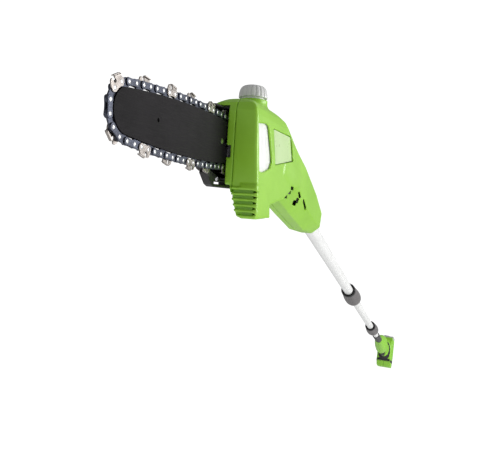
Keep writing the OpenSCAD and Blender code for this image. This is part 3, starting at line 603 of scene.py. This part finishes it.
def open_neck_and_tail(d, x, y, z):
    """Cuts the hole for the tank's neck and, at the tail, the one for the upper tube."""
    xh, yh, zh = to_head(x, y, z)
    d = np.maximum(d, -np.maximum(from_filler(xh, yh) - NECK_HOLE_R, 30 - zh))
    in_tail = x < TUBE_HOLE_END
    return np.maximum(d, -(np.sqrt(y * y + z * z) - TUBE_HOLE_R) * in_tail - ~in_tail * 50)


def d_right(x, y, z):
    """Right half: ribbed foot, tank window, sticker pocket and vents."""
    xh, yh, zh = to_head(x, y, z)
    outer = d_casing(x, y, z)
    foot = smax(smax(np.abs(xh - 26) - 22.5, np.abs(zh + 59) - 17, 2.0), np.abs(yh - 30) - 9.0, 2.0)
    foot = smax(foot, (yh - 39.4) * 0.94 + (xh - 49) * -0.12, 2.0)
    outer = smin(outer, foot, 3.0)
    d = np.maximum(outer, -(outer + WALL))
    d = smax(d, -slab(d_poly(xh, zh, WINDOW) - 0.3, leaned(yh, zh), 30, 60), 1.0)
    panel = slab(d_poly(xh, zh, LABEL_OUTLINE) - 0.7, leaned(yh, zh), SIDE_Y - 1.4, 60)
    d = smax(d, -panel, 0.5)
    for i in range(RIBS):
        zc = RIB_TOP - RIB_PITCH * i
        lips = [(3, zc + 1.5), (34.5, zc + 1.5), (39.5, zc - 0.2), (34.5, zc - 1.9), (3, zc - 1.5)]
        d = smax(d, -slab(d_poly(yh, zh, lips), xh, 42.0, 70), 0.7)
    solid_back = np.maximum(outer, d_box((xh, yh, zh), (38, 2, -78), (44.4, 34, -44)))
    d = np.minimum(d, np.maximum(solid_back, -(xh - 41.9)))
    for vent in VENTS:
        d = smax(d, -d_vent(x, y, z, vent), 0.4)
    return smax(open_neck_and_tail(d, x, y, z), SPLIT_Y + SEAM - y, 0.4)


def d_left(x, y, z):
    """Left half: the recess for the bar and the holes behind it."""
    xh, yh, zh = to_head(x, y, z)
    outer = d_casing(x, y, z)
    d = np.maximum(outer, -(outer + WALL))
    lip = np.where(xh > 43.6, 2.7, 4.6)
    recess = np.maximum(np.maximum(-58 - xh, yh - lip), zh - 38.6)
    wall = np.maximum(np.maximum(np.maximum(-60.4 - xh, yh - 7), zh - 41), outer + 0.5)
    front_lip = np.maximum(np.maximum(outer, 44.5 - xh), yh - 12)
    d = np.minimum(np.minimum(d, wall), front_lip)
    d = smax(d, -recess, 0.5)
    hole = np.sqrt((xh + SHAFT_BACK) ** 2 + zh * zh) - HOLE_R
    d = np.maximum(d, -hole)
    slot = d_box((xh, yh, zh), (-21, -40, -16.1), (43.3, 30, 16.1))
    notch = d_box((xh, yh, zh), (41, -3, -15), (50, 7.2, -2), 0.5)
    d = np.maximum(np.maximum(d, -slot), -notch)
    return smax(open_neck_and_tail(d, x, y, z), y - SPLIT_Y + SEAM, 0.4)


HEAD_STEP = 1.1
field_piece("casing_right", d_right, (1400, 0, -110), (1840, 32, 60), HEAD_STEP, "head", "side_green",
            ["head_shell_right"], GREEN)
field_piece("casing_left", d_left, (1400, -36, -110), (1840, 3, 60), HEAD_STEP, "head", "side_green",
            ["head_shell_left"], GREEN)


def d_tank(x, y, z):
    lean_y = leaned(y, z)
    panel = d_box((x, lean_y, z), (-10, 29.4, -32), (43.2, 33.4, 31), 1.2)
    top = d_box((x, y, z), (-31, 12.2, 31), (43.2, 29, 42), 2.0)
    under = d_box((x, y, z), (-19, -2, 31), (13, 14, 42), 2.0)
    neck = np.maximum(from_filler(x, y) - 12.9, np.abs(z - 47.4) - 11)
    body = smin(smin(smin(panel, top, 2.0), under, 2.0), neck, 1.5)
    bore = np.maximum(from_filler(x, y) - 10.5, 34 - z)
    lines = np.maximum(np.abs(lean_y - 33.4) - 0.5, np.abs(np.abs(x - 22) - 6) - 0.7)
    ridge = smin(body, lines + 0.2, 0.8)
    body = np.where((z > -28) & (z < 18) & (lean_y > 30), np.minimum(body, ridge), body)
    return smax(body, -bore, 0.5)


head_piece("tank", d_tank, (-34, -4, -34), (45, 36, 60), 1.0, "head", "tank", ["oil_tank"], TANK)

label_bm = bmesh.new()
label_points = []
for i, (px, pz) in enumerate(LABEL_OUTLINE):
    prev, nxt = LABEL_OUTLINE[i - 1], LABEL_OUTLINE[(i + 1) % 4]
    p, a, b = Vector((px, pz)), Vector(prev), Vector(nxt)
    da, db = (a - p).normalized() * 2.5, (b - p).normalized() * 2.5
    for k in range(5):
        u = k / 4
        label_points.append(tuple(p + da * (1 - u) ** 2 + db * u ** 2))
LEAN_M = Matrix(((1, 0, 0, 0), (0, 1, -LEAN, -LEAN_FROM / 1000 * LEAN), (0, 0, 1, 0), (0, 0, 0, 1)))
extrude_outline(label_bm, label_points, SIDE_Y - 1.3, SIDE_Y + 0.4, HEAD_M @ LEAN_M, 0.08)
bm_piece("side_sticker", label_bm, "head", ["side_label"], LABEL)

# Lead: only a short length at each end, inside the tubes, so that neither comes out as the stages close.
for part, body, x0, x1 in (("front", "head", 1350, 1585), ("rear", "handle", -230, 250)):
    lead_bm = bmesh.new()
    steps = int((x1 - x0) / 6)
    waves = [(x0 + (x1 - x0) * k / steps, 5.9 if k % 2 else 5.2) for k in range(steps + 1)]
    lathe(lead_bm, [(x0, 0.01)] + waves + [(x1, 0.01)], 16)
    bm_piece("lead_" + part, lead_bm, body, ["coiled_lead"] if part == "rear" else [], LEAD)

# Cap: fluted skirt, domed top with a grip bar, in the head's frame with its axis along z.
CAP_M = HEAD_M @ Matrix.Translation((-0.003, 0.0095, 0.0585)) @ Matrix.Rotation(-math.pi / 2, 4, "Y")


def cap_wave(a, x):
    if x < -3.4 or x > 8.6:
        return 1.0
    return 1.0 - 0.05 * (0.5 + 0.5 * math.cos(a * 18)) ** 4


cap_bm = bmesh.new()
lathe_closed(cap_bm, [(2.0, 1.0), (2.0, 13.1), (-3.9, 13.1), (-3.9, 15.2), (-3.6, 15.8), (-2.9, 16.0),
                      (-1.5, 15.9), (1, 15.7), (3.5, 15.2), (5.6, 14.5), (7.2, 13.5), (8.4, 12.2),
                      (9.2, 10.8), (9.6, 9.4), (9.7, 7.5), (9.1, 6.8), (8.9, 5.0), (8.9, 1.0)],
             216, CAP_M, cap_wave)
bm_piece("filler_cap", cap_bm, "cap", ["oil_cap"], CAP_GREY, angle=40)

plug_bm = bmesh.new()
lathe(plug_bm, [(1.9, 0.01), (1.9, 1.1), (11.5, 1.1), (11.5, 0.01)], 24, CAP_M)
bm_piece("cap_core", plug_bm, "cap", [], CAP_GREY)
grip_bm = bmesh.new()
grip_outline = [(8.5, -6.8), (9.8, -6.2), (10.1, -5), (10.1, 5), (9.8, 6.2), (8.5, 6.8)]
extrude_outline(grip_bm, grip_outline, -1.6, 1.6, CAP_M @ Matrix.Rotation(0.6, 4, "X"), 0.3)
bm_piece("cap_bar", grip_bm, "cap", [], CAP_GREY)

# ---- cover and bumper on the far side ----

COVER = [(-57, -30), (-57, 30), (-50, 37), (64, 37), (92, 27), (94, 20), (94, -14), (78, -30), (46, -38),
         (-50, -38)]


def d_cover(x, y, z):
    edge = d_poly(x, z, COVER)
    outer = slab(edge, y, -16, 4.4, 2.0)
    inner = slab(edge + 2.4, y, -13, 20)
    open_front = d_box((x, y, z), (44, -4, -60), (130, 20, 60))
    d = np.maximum(np.maximum(outer, -inner), -open_front)
    boss = np.maximum(np.sqrt((x - STUD_X) ** 2 + z * z) - 9, np.abs(y + 8) - 5.9)
    bridge = d_box((x, y, z), (78, -14, -6), (86, -5, 6), 0.6)
    d = np.minimum(np.minimum(d, boss), bridge)
    along = np.maximum(46 - x, x - 90)
    rib = np.maximum(np.abs(np.abs(z) - 14) - 1.0, np.maximum(np.abs(y + 13) - 1.5, along))
    d = np.minimum(d, rib)
    for i in range(5):
        rz = -16 + 8 * i
        rib_out = d_box((x, y, z), (-44, -16.6, rz - 1.2), (12, -15, rz + 1.2), 0.5)
        d = smin(d, rib_out, 0.6)
    stud = np.sqrt((x - STUD_X) ** 2 + z * z) - 4.15
    screw = np.sqrt((y + 8.6) ** 2 + z * z) - 2.2 + 100 * (x < 50)
    return np.maximum(np.maximum(d, -stud), -screw)


head_piece("cover", d_cover, (-59, -18, -40), (96, 6, 39), 1.0, "side_cover", "black_plastic",
           ["chain_cover"], BLACK)


def d_bumper(x, y, z):
    pts = [(8, -38.1), (46, -38.1), (77, -30.2), (79, -33), (67, -44), (61, -46), (8, -46)]
    d = slab(d_poly(x, z, pts), y, -12, -3.4, 1.2)
    slot = np.maximum(np.maximum(np.abs(z + 41.6) - 1.3, np.maximum(30 - x, x - 60)), -y - 30)
    return smax(d, -slot, 0.5)


head_piece("bumper", d_bumper, (6, -14, -48), (80, -2, -28), 0.8, "side_cover", "black_plastic",
           ["branch_bumper"], BLACK)
screw_bm = bmesh.new()
lathe(screw_bm, [(-2.0, 0.01), (-2.0, 0.5), (-2.6, 0.6), (-2.6, 1.7), (-3.2, 2.1), (-4.4, 2.1)], 24,
      HEAD_M @ Matrix.Translation((0.068, -0.0008, -0.038)) @ Matrix.Rotation(-math.pi / 2, 4, "Z"))
bm_piece("bumper_screw", screw_bm, "side_cover", [], STEEL)

nut_bm = bmesh.new()
extrude_outline(nut_bm, round_points(STUD_X, 0, 7.5, 0, 300, 5), -24, -18, HEAD_M, 0.5)
extrude_outline(nut_bm, round_points(STUD_X, 0, 9, 0, 354, 59), -18.2, -16.4, HEAD_M, 0.3)
bm_piece("knob_nut", nut_bm, "bar_nut", ["bar_nut"], BLACK)

# ---- chain ----

PITCH_N = 66
SX, NX, RS, RN, RB = -28.0, 224.6, 18.4, 20.5, 1100.0
CX = ((NX ** 2 - SX ** 2) - ((RB - RN) ** 2 - (RB - RS) ** 2)) / (2 * (NX - SX))
CZ = math.sqrt((RB - RS) ** 2 - (CX - SX) ** 2)
BACK, FRONT = math.atan2(CZ, SX - CX), math.atan2(CZ, NX - CX)
LONG, NOSE, TURN = RB * (BACK - FRONT), RN * 2 * FRONT, RS * 2 * (math.pi - BACK)
LOOP = 2 * LONG + NOSE + TURN


def path(d):
    if d < LONG:
        a = BACK - d / RB
        return CX + RB * math.cos(a), RB * math.sin(a) - CZ
    if d < LONG + NOSE:
        a = FRONT - (d - LONG) / RN
        return NX + RN * math.cos(a), RN * math.sin(a)
    if d < 2 * LONG + NOSE:
        a = -FRONT - (d - LONG - NOSE) / RB
        return CX + RB * math.cos(a), RB * math.sin(a) + CZ
    a = -BACK - (d - 2 * LONG - NOSE) / RS
    return SX + RS * math.cos(a), RS * math.sin(a)


def rivet(k):
    return path((k + 0.75) % PITCH_N * LOOP / PITCH_N)


def link_matrix(k):
    a, b = rivet(k), rivet(k + 1)
    ang = math.atan2(b[1] - a[1], b[0] - a[0])
    mid = ((a[0] + b[0]) / 2000, 0, (a[1] + b[1]) / 2000)
    return HEAD_M @ Matrix.Translation(mid) @ Matrix.Rotation(-ang, 4, "Y")


LINK_HALF, LINK_R = 4.71, 3.25  # half the spacing of a link's rivets, and the round of its ends


def plate_outline():
    right = round_points(LINK_HALF, 0, LINK_R, -68, 68, 8)
    left = round_points(-LINK_HALF, 0, LINK_R, 112, 248, 8)
    return right + [(1.6, 2.5), (-1.6, 2.5)] + left + [(-1.6, -2.5), (1.6, -2.5)]


DRIVE = (round_points(LINK_HALF, 0, LINK_R, -60, 70, 8) + [(1.6, 2.7), (-1.6, 2.7)]
         + round_points(-LINK_HALF, 0, LINK_R, 110, 240, 8)
         + [(-4.0, -4.2), (-3.2, -5.6), (-2.6, -7.6), (-1.6, -8.1), (0.6, -8.1), (1.6, -7.2),
            (2.4, -5.2), (3.4, -3.9)])
chain_link = bmesh.new()
chain_strap = bmesh.new()
chain_cutter = bmesh.new()
chain_rivet = bmesh.new()
SY, ST = 0.68, 1.05


def cutter_side(i):
    return {1: 1, 3: -1}.get(i % 4, 0)


def add_cutter(bm, m, s):
    """One cutter: side plate, top plate curling over the link, depth gauge and gullet."""
    body = [(-4.71, -3.25), (-7.2, -1.6), (-7.9, 0.4), (-7.2, 2.2), (-6.5, 3.0), (-6.7, 5.2), (-6.2, 6.0),
            (1.0, 7.4), (1.3, 6.2), (0.8, 4.6), (0.6, 3.4), (1.2, 2.5), (2.4, 2.3), (3.2, 3.0), (3.6, 5.2),
            (4.2, 6.5), (5.4, 6.5), (6.6, 5.6), (7.6, 3.6), (7.9, 1.4), (7.9, -0.6), (7.2, -2.2),
            (4.71, -3.25), (1.6, -2.5), (-1.6, -2.5)]
    y0, y1 = (SY, SY + ST) if s > 0 else (-SY - ST, -SY)
    extrude_outline(bm, body, y0, y1, m, 0.18)
    # Top plate: a thin wedge from the side plate's top edge over the middle.
    ys = [s * (SY + ST + 0.55), s * (SY + 0.3), s * 0.1, s * -0.7]
    drop = [0.9, 0.0, -0.05, 0.1]
    rows = []
    for y, dz in zip(ys, drop):
        rows.append([(-6.3, 5.9 - dz), (-2.6, 6.7 - dz), (1.15, 7.45 - dz), (1.0, 6.6 - dz), (-2.6, 5.9 - dz),
                     (-6.3, 5.1 - dz)])
    vs = [[bm.verts.new(m @ Vector((p[0] / 1000, y / 1000, p[1] / 1000))) for p in row]
          for y, row in zip(ys, rows)]
    for a, b in zip(vs, vs[1:]):
        for i in range(6):
            bm.faces.new((a[i], a[(i + 1) % 6], b[(i + 1) % 6], b[i]))
    bm.faces.new(vs[0])
    bm.faces.new(vs[-1])


for i in range(33):
    m = link_matrix(2 * i)
    extrude_outline(chain_link, DRIVE, -0.65, 0.65, m, 0.12)
    m = link_matrix(2 * i + 1)
    for side in (-1, 1):
        y0, y1 = (SY, SY + ST) if side > 0 else (-SY - ST, -SY)
        if cutter_side(i) == side:
            add_cutter(chain_cutter, m, side)
        else:
            extrude_outline(chain_strap, plate_outline(), y0, y1, m, 0.16)
for k in range(PITCH_N):
    p = rivet(k)
    m = HEAD_M @ Matrix.Translation((p[0] / 1000, 0, p[1] / 1000)) @ Matrix.Rotation(math.pi / 2, 4, "Z")
    top = SY + ST
    lathe(chain_rivet, [(-top - 0.34, 0.01), (-top - 0.34, 1.0), (-top - 0.26, 1.5), (-top + 0.05, 1.75),
                        (top - 0.05, 1.75), (top + 0.26, 1.5), (top + 0.34, 1.0), (top + 0.34, 0.01)], 16, m)
bm_piece("chain_drive_links", chain_link, "head", ["drive_links"], LINK)
bm_piece("chain_straps", chain_strap, "head", ["tie_straps"], LINK)
bm_piece("chain_cutters", chain_cutter, "head", ["cutters"], CHROME)
bm_piece("chain_pins", chain_rivet, "head", ["chain_rivets"], STEEL, angle=50)

# ---- pole ----


def collar_wave(a, x):
    return 1.0 - 0.012 * (0.5 + 0.5 * math.cos(a * 40)) ** 3 if -104 < x < -12 else 1.0


def build_collar(name, node, body, inner):
    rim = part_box(node)[1].x * 1000
    m = Matrix.Translation((rim / 1000, 0, 0))
    body_bm = bmesh.new()
    profile = [(-9.5, 14.56), (-9.5, 17.9)] + [(-x, r) for x, r in (
        (14, 18.05), (22, 18.3), (32, 18.8), (44, 19.6), (56, 20.4), (68, 21.05), (80, 21.4), (92, 21.45),
        (102, 21.2), (108, 20.5), (112.5, 19.2), (115.2, 17.4), (116, 15.6))]
    profile += [(-116, inner + 0.12), (-108.2, inner + 0.12), (-108, 14.56)]
    lathe_closed(body_bm, profile, 160, m, collar_wave)
    bm_piece(name, body_bm, body, [node], COLLAR, angle=45)
    rim_bm = bmesh.new()
    lathe_closed(rim_bm, [(-9.6, 14.56), (-1.2, 14.56), (-0.2, 15.2), (0, 16.2), (-0.2, 17.0), (-1.0, 17.6),
                          (-2.4, 17.75), (-9.0, 17.9), (-9.6, 17.8)], 96, m)
    bm_piece(name + "_rim", rim_bm, body, [], BLACK, angle=45)


build_collar("upper_twist", "upper_collar", "upper_collar", 10.65)
build_collar("lower_twist", "lower_collar", "lower_collar", 9.8)

grip_low, grip_high = (v.x * 1000 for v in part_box("grip_sleeve"))
grip_bm = bmesh.new()
grip_profile = [(grip_low, 9.9), (grip_low, 12.4), (grip_low + 0.8, 13.1)]
for i in range(34):
    x = grip_low + 6 + i * 4.0
    if x > grip_high - 8:
        break
    grip_profile += [(x, 13.45), (x + 1.2, 12.95), (x + 2.0, 12.95), (x + 3.2, 13.45)]
grip_profile += [(grip_high - 3, 13.5), (grip_high - 1, 13.2), (grip_high, 12.4), (grip_high, 11.4),
                 (grip_high - 6, 9.9)]
lathe_closed(grip_bm, grip_profile, 96)
bm_piece("rear_grip", grip_bm, "handle", ["grip_sleeve"], GRIP, angle=50)

# ---- handle ----


def d_oval(y, z, ry, rz):
    k = np.sqrt((y / ry) ** 2 + (z / rz) ** 2)
    return (k - 1) * np.minimum(ry, rz)


# Handle slices: x, half width, half height.
HANDLE = [(-73, 15, 15), (-100, 17.5, 20), (-130, 20.3, 25.5), (-170, 23.5, 32.5), (-210, 26, 38.3),
          (-245, 27, 41), (-270, 26, 38.6), (-300, 22.5, 32), (-330, 19.5, 26), (-370, 18.6, 25),
          (-425, 19, 27), (-446, 26, 42), (-452, 31, 52)]


def d_dock(x, y, z):
    dock = d_box((x, y, z), (-500, -33, -78), (-450, 33, 64), 5.0)
    return smax(dock, (x + 468) * 0.6 + (np.abs(z + 7) - 62) * 0.8, 3.0)


def d_handle(x, y, z):
    s = np.array(HANDLE[::-1], np.float32)
    ry, rz = (np.interp(x, s[:, 0], s[:, i]).astype(np.float32) for i in (1, 2))
    d = d_oval(y, z, ry, rz)
    d = smax(smax(d, x + 73, 2.0), -452 - x, 1.0)
    return smin(d, d_dock(x, y, z), 6.0)


def d_boot(x, y, z):
    """The black ring where the handle flares into the dock, leaning forward at the top."""
    return np.abs(x + 441 - 0.06 * z) - 6.5


def d_handle_half(side):
    def f(x, y, z):
        outer = d_handle(x, y, z)
        d = np.maximum(outer, -(outer + 2.5))
        d = np.maximum(d, -np.maximum(np.sqrt(y * y + z * z) - 9.95, -130 - x))
        slot = d_box((x, y, z), (-406, -7.8, -60), (-343, 7.8, -12), 1.0)
        button = np.maximum(np.sqrt((x + 352) ** 2 + y * y) - 6.3, -z)
        d = smax(smax(d, -slot, 0.6), -button, 0.6)
        return smax(d, 0.12 - side * y, 0.4)
    return f


for side, word in ((1, "right"), (-1, "left")):
    y_range = (0, 36) if side > 0 else (-36, 0)
    field_piece("handle_" + word, d_handle_half(side), (-503, y_range[0], -82), (-70, y_range[1], 68), 1.3,
                "handle", "side_green", ["handle_shell_" + word], GREEN_PACK)


def d_trim(x, y, z):
    outer = d_handle(x, y, z)
    boot = smax(smax(d_boot(x, y, z), outer - 0.5, 0.6), -(outer + 2.2), 0.3)
    belt = smax(smax(np.abs(z + 52) - 6, d_dock(x, y, z) - 0.5, 0.6), x + 452, 0.3)
    return np.minimum(boot, smax(belt, -(d_dock(x, y, z) + 2.2), 0.3))


field_piece("handle_trim", d_trim, (-502, -36, -80), (-425, 36, 66), 1.0, "handle", "black_plastic", [],
            BLACK)

WIRE = 0.45


def add_spring(name, x, z, r, turns, height, replaced):
    """A coil round (x, 0) that starts at z and rises by height over its turns."""
    coil = []
    for i in range(turns * 20 + 1):
        a = i * math.pi / 10
        coil.append([((x + (r + WIRE * math.cos(b)) * math.cos(a)) / 1000,
                      (r + WIRE * math.cos(b)) * math.sin(a) / 1000,
                      (z + WIRE + i * (height - 2 * WIRE) / (turns * 20) + WIRE * math.sin(b)) / 1000)
                     for b in (j * math.pi / 4 for j in range(8))])
    bm = bmesh.new()
    rings = [[bm.verts.new(p) for p in ring] for ring in coil]
    for a, b in zip(rings, rings[1:]):
        for j in range(8):
            bm.faces.new((a[j], a[j - 7], b[j - 7], b[j]))
    bm.faces.new(rings[0])
    bm.faces.new(rings[-1][::-1])
    spring = bm_piece(name, bm, "handle", replaced, STEEL)
    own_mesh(spring)


add_spring("spring_trigger", -390, -14.8, 3.0, 5, 11.6, ["springs"])
add_spring("spring_button", -352, 2.2, 3.6, 4, 8.6, [])

trigger_bm = bmesh.new()
trigger_pts = [(-353, -15), (-345.5, -15), (-345.5, -20), (-348, -25.5), (-353, -31), (-360, -34.6),
               (-370, -37.4), (-380, -37.8), (-390, -36.4), (-396, -34), (-400, -29.5), (-401, -25),
               (-401, -15)]
extrude_outline(trigger_bm, trigger_pts, -7, 7, None, 1.2)
bm_piece("trigger_blade", trigger_bm, "trigger", ["trigger"], BLACK, bevel=0.5)

button_bm = bmesh.new()
lathe(button_bm, [(11, 0.01), (11, 8), (14, 8), (14, 6), (28.5, 6), (30, 5.4), (30.8, 4.2), (31, 2.5),
                  (30.6, 0.01)],
      48, Matrix.Translation((-0.352, 0, 0)) @ Matrix.Rotation(-math.pi / 2, 4, "Y"))
bm_piece("lock_button", button_bm, "lock_off_button", ["lock_off_button"], BLACK)

# ---- battery ----

PACK_LOW, PACK_HIGH = -79.0, 73.0
PACK_FRONT, PACK_BACK, PACK_Y = -501.2, -571.0, 37.0


def d_pack(x, y, z):
    d = d_box((x, y, z), (PACK_BACK, -PACK_Y, PACK_LOW), (PACK_FRONT, PACK_Y, PACK_HIGH), 6.0)
    taper = (np.abs(y) - PACK_Y) + np.maximum(-z - 20, 0) * 0.07
    return smax(d, taper, 3.0)


def pack_cut(d, x, y, z):
    neck = d_box((x, y, z), (-505.4, -12.3, -90), (-495, 12.3, 52))
    head_slot = d_box((x, y, z), (-509.4, -18.3, -90), (-504.7, 18.3, 52))
    latch = d_box((x, y, z), (-535, -12.3, 62), (-511, 12.3, 90), 0.5)
    return np.maximum(np.maximum(np.maximum(d, -neck), -head_slot), -latch)


def d_pack_green(x, y, z):
    return pack_cut(smax(d_pack(x, y, z), z - 55, 0.5), x, y, z)


def d_pack_top(x, y, z):
    outer = d_pack(x, y, z)
    d = smax(outer, 55.3 - z, 0.5)
    lip = np.maximum(np.abs(z - 60) - 1.0, -(outer + 0.8))
    return pack_cut(smax(d, -lip, 0.4), x, y, z)


def d_pack_belt(x, y, z):
    outer = d_pack(x, y, z)
    ring = smax(smax(np.abs(z + 52) - 6, outer - 0.5, 0.6), -(outer + 2.5), 0.3)
    return pack_cut(ring, x, y, z)


PACK_RANGE = ((-573, -39, -81), (-499, 39, 75))
field_piece("pack_body", d_pack_green, *PACK_RANGE, 1.3, "battery", "side_green", ["battery_case"],
            GREEN_PACK)
PACK_GREY = plastic("pack_top", (0.48, 0.49, 0.47), (0.42, 0.43, 0.41), (0.56, 0.57, 0.55), rough=0.45)
field_piece("pack_top", d_pack_top, *PACK_RANGE, 1.3, "battery", "black_plastic", [], PACK_GREY)
field_piece("pack_belt", d_pack_belt, *PACK_RANGE, 0.9, "battery", "black_plastic", [], BLACK)
latch_bm = bmesh.new()
extrude_outline(latch_bm, [(-534.6, 66), (-511.4, 66), (-511.4, 73.4), (-513, 75.4), (-518, 76), (-528, 76),
                           (-533, 75.4), (-534.6, 73.4)], -11.9, 11.9, None, 0.8)
bm_piece("pack_latch", latch_bm, "battery_latch", ["battery_latch"], BLACK, bevel=0.3)

# ---- floor, light, camera ----

FLOOR_HALF, FLOOR_Z = 30.0, -0.9
floor_mesh = bpy.data.meshes.new("floor")
corners = [(sx * FLOOR_HALF, sy * FLOOR_HALF, 0) for sx, sy in ((-1, -1), (1, -1), (1, 1), (-1, 1))]
floor_mesh.from_pydata(corners, [], [(0, 1, 2, 3)])
floor = bpy.data.objects.new("floor", floor_mesh)
bpy.context.scene.collection.objects.link(floor)
floor.location.z = FLOOR_Z
floor_nodes = Nodes("floor")
floor_nodes.set(Base_Color=floor_nodes.ramp(floor_nodes.noise(0.4, 2), [(0.3, grey(0.9)), (0.7, grey(0.93))]))
floor_nodes.bsdf.inputs["Roughness"].default_value = 0.9
floor_nodes.bsdf.inputs["Specular IOR Level"].default_value = 0.0
# The floor and the sky are brighter to the camera than as lights, which keeps the background white.
floor_nodes.bsdf.inputs["Emission Color"].default_value = (1, 1, 1, 1)
floor_seen = floor_nodes.add("ShaderNodeLightPath").outputs["Is Camera Ray"]
floor_nodes.put(floor_nodes.bsdf.inputs["Emission Strength"],
                floor_nodes.math("ADD", floor_nodes.math("MULTIPLY", floor_seen, 0.8), 0.25))
floor.data.materials.append(floor_nodes.mat)

# Sky: the first background lights the saw, and the second is what the camera sees.
world = bpy.data.worlds.new("studio")
bpy.context.scene.world = world
world.use_nodes = True
tree = world.node_tree
lighting = tree.nodes["Background"]
lighting.inputs[0].default_value = (0.97, 0.985, 1.0, 1)
lighting.inputs[1].default_value = 0.3
seen = tree.nodes.new("ShaderNodeBackground")
seen.inputs[0].default_value = (1, 1, 1, 1)
seen.inputs[1].default_value = 1.1
rays = tree.nodes.new("ShaderNodeLightPath")
choose = tree.nodes.new("ShaderNodeMixShader")
tree.links.new(rays.outputs["Is Camera Ray"], choose.inputs[0])
tree.links.new(lighting.outputs[0], choose.inputs[1])
tree.links.new(seen.outputs[0], choose.inputs[2])
tree.links.new(choose.outputs[0], tree.nodes["World Output"].inputs["Surface"])


def area_light(name, place, target, size, power):
    data = bpy.data.lights.new(name, "AREA")
    data.shape = "DISK"
    data.size = size
    data.energy = power
    obj = bpy.data.objects.new(name, data)
    obj.location = place
    obj.rotation_euler = (Vector(target) - Vector(place)).to_track_quat("-Z", "Y").to_euler()
    bpy.context.scene.collection.objects.link(obj)


area_light("side_key", (1.0, 2.4, 0.9), (1.65, 0.0, -0.05), 1.4, 40)
area_light("top_fill", (1.2, 0.8, 2.2), (1.7, 0.0, 0.0), 1.6, 8)
area_light("rear_key", (-0.2, 2.2, 1.0), (-0.35, 0.0, 0.0), 1.2, 22)

camera_data = bpy.data.cameras.new("camera")
# The camera was fitted to the chain's rivets in the photo.
camera_data.lens = 37.08
camera_data.sensor_width = 36
camera_data.shift_y = -0.004
camera_data.clip_start = 0.01
camera_data.clip_end = 100
camera = bpy.data.objects.new("camera", camera_data)
right, up, back = (-0.30067, 0.9371, 0.17754), (0.32821, -0.0731, 0.94179), (0.89549, 0.3415, -0.28560)
rotation = Matrix((right, up, back)).transposed().to_4x4()
camera.matrix_world = Matrix.Translation((2.2348, 0.2010, -0.2580)) @ rotation
bpy.context.scene.collection.objects.link(camera)
bpy.context.scene.camera = camera
bpy.context.scene.view_settings.view_transform = "Standard"
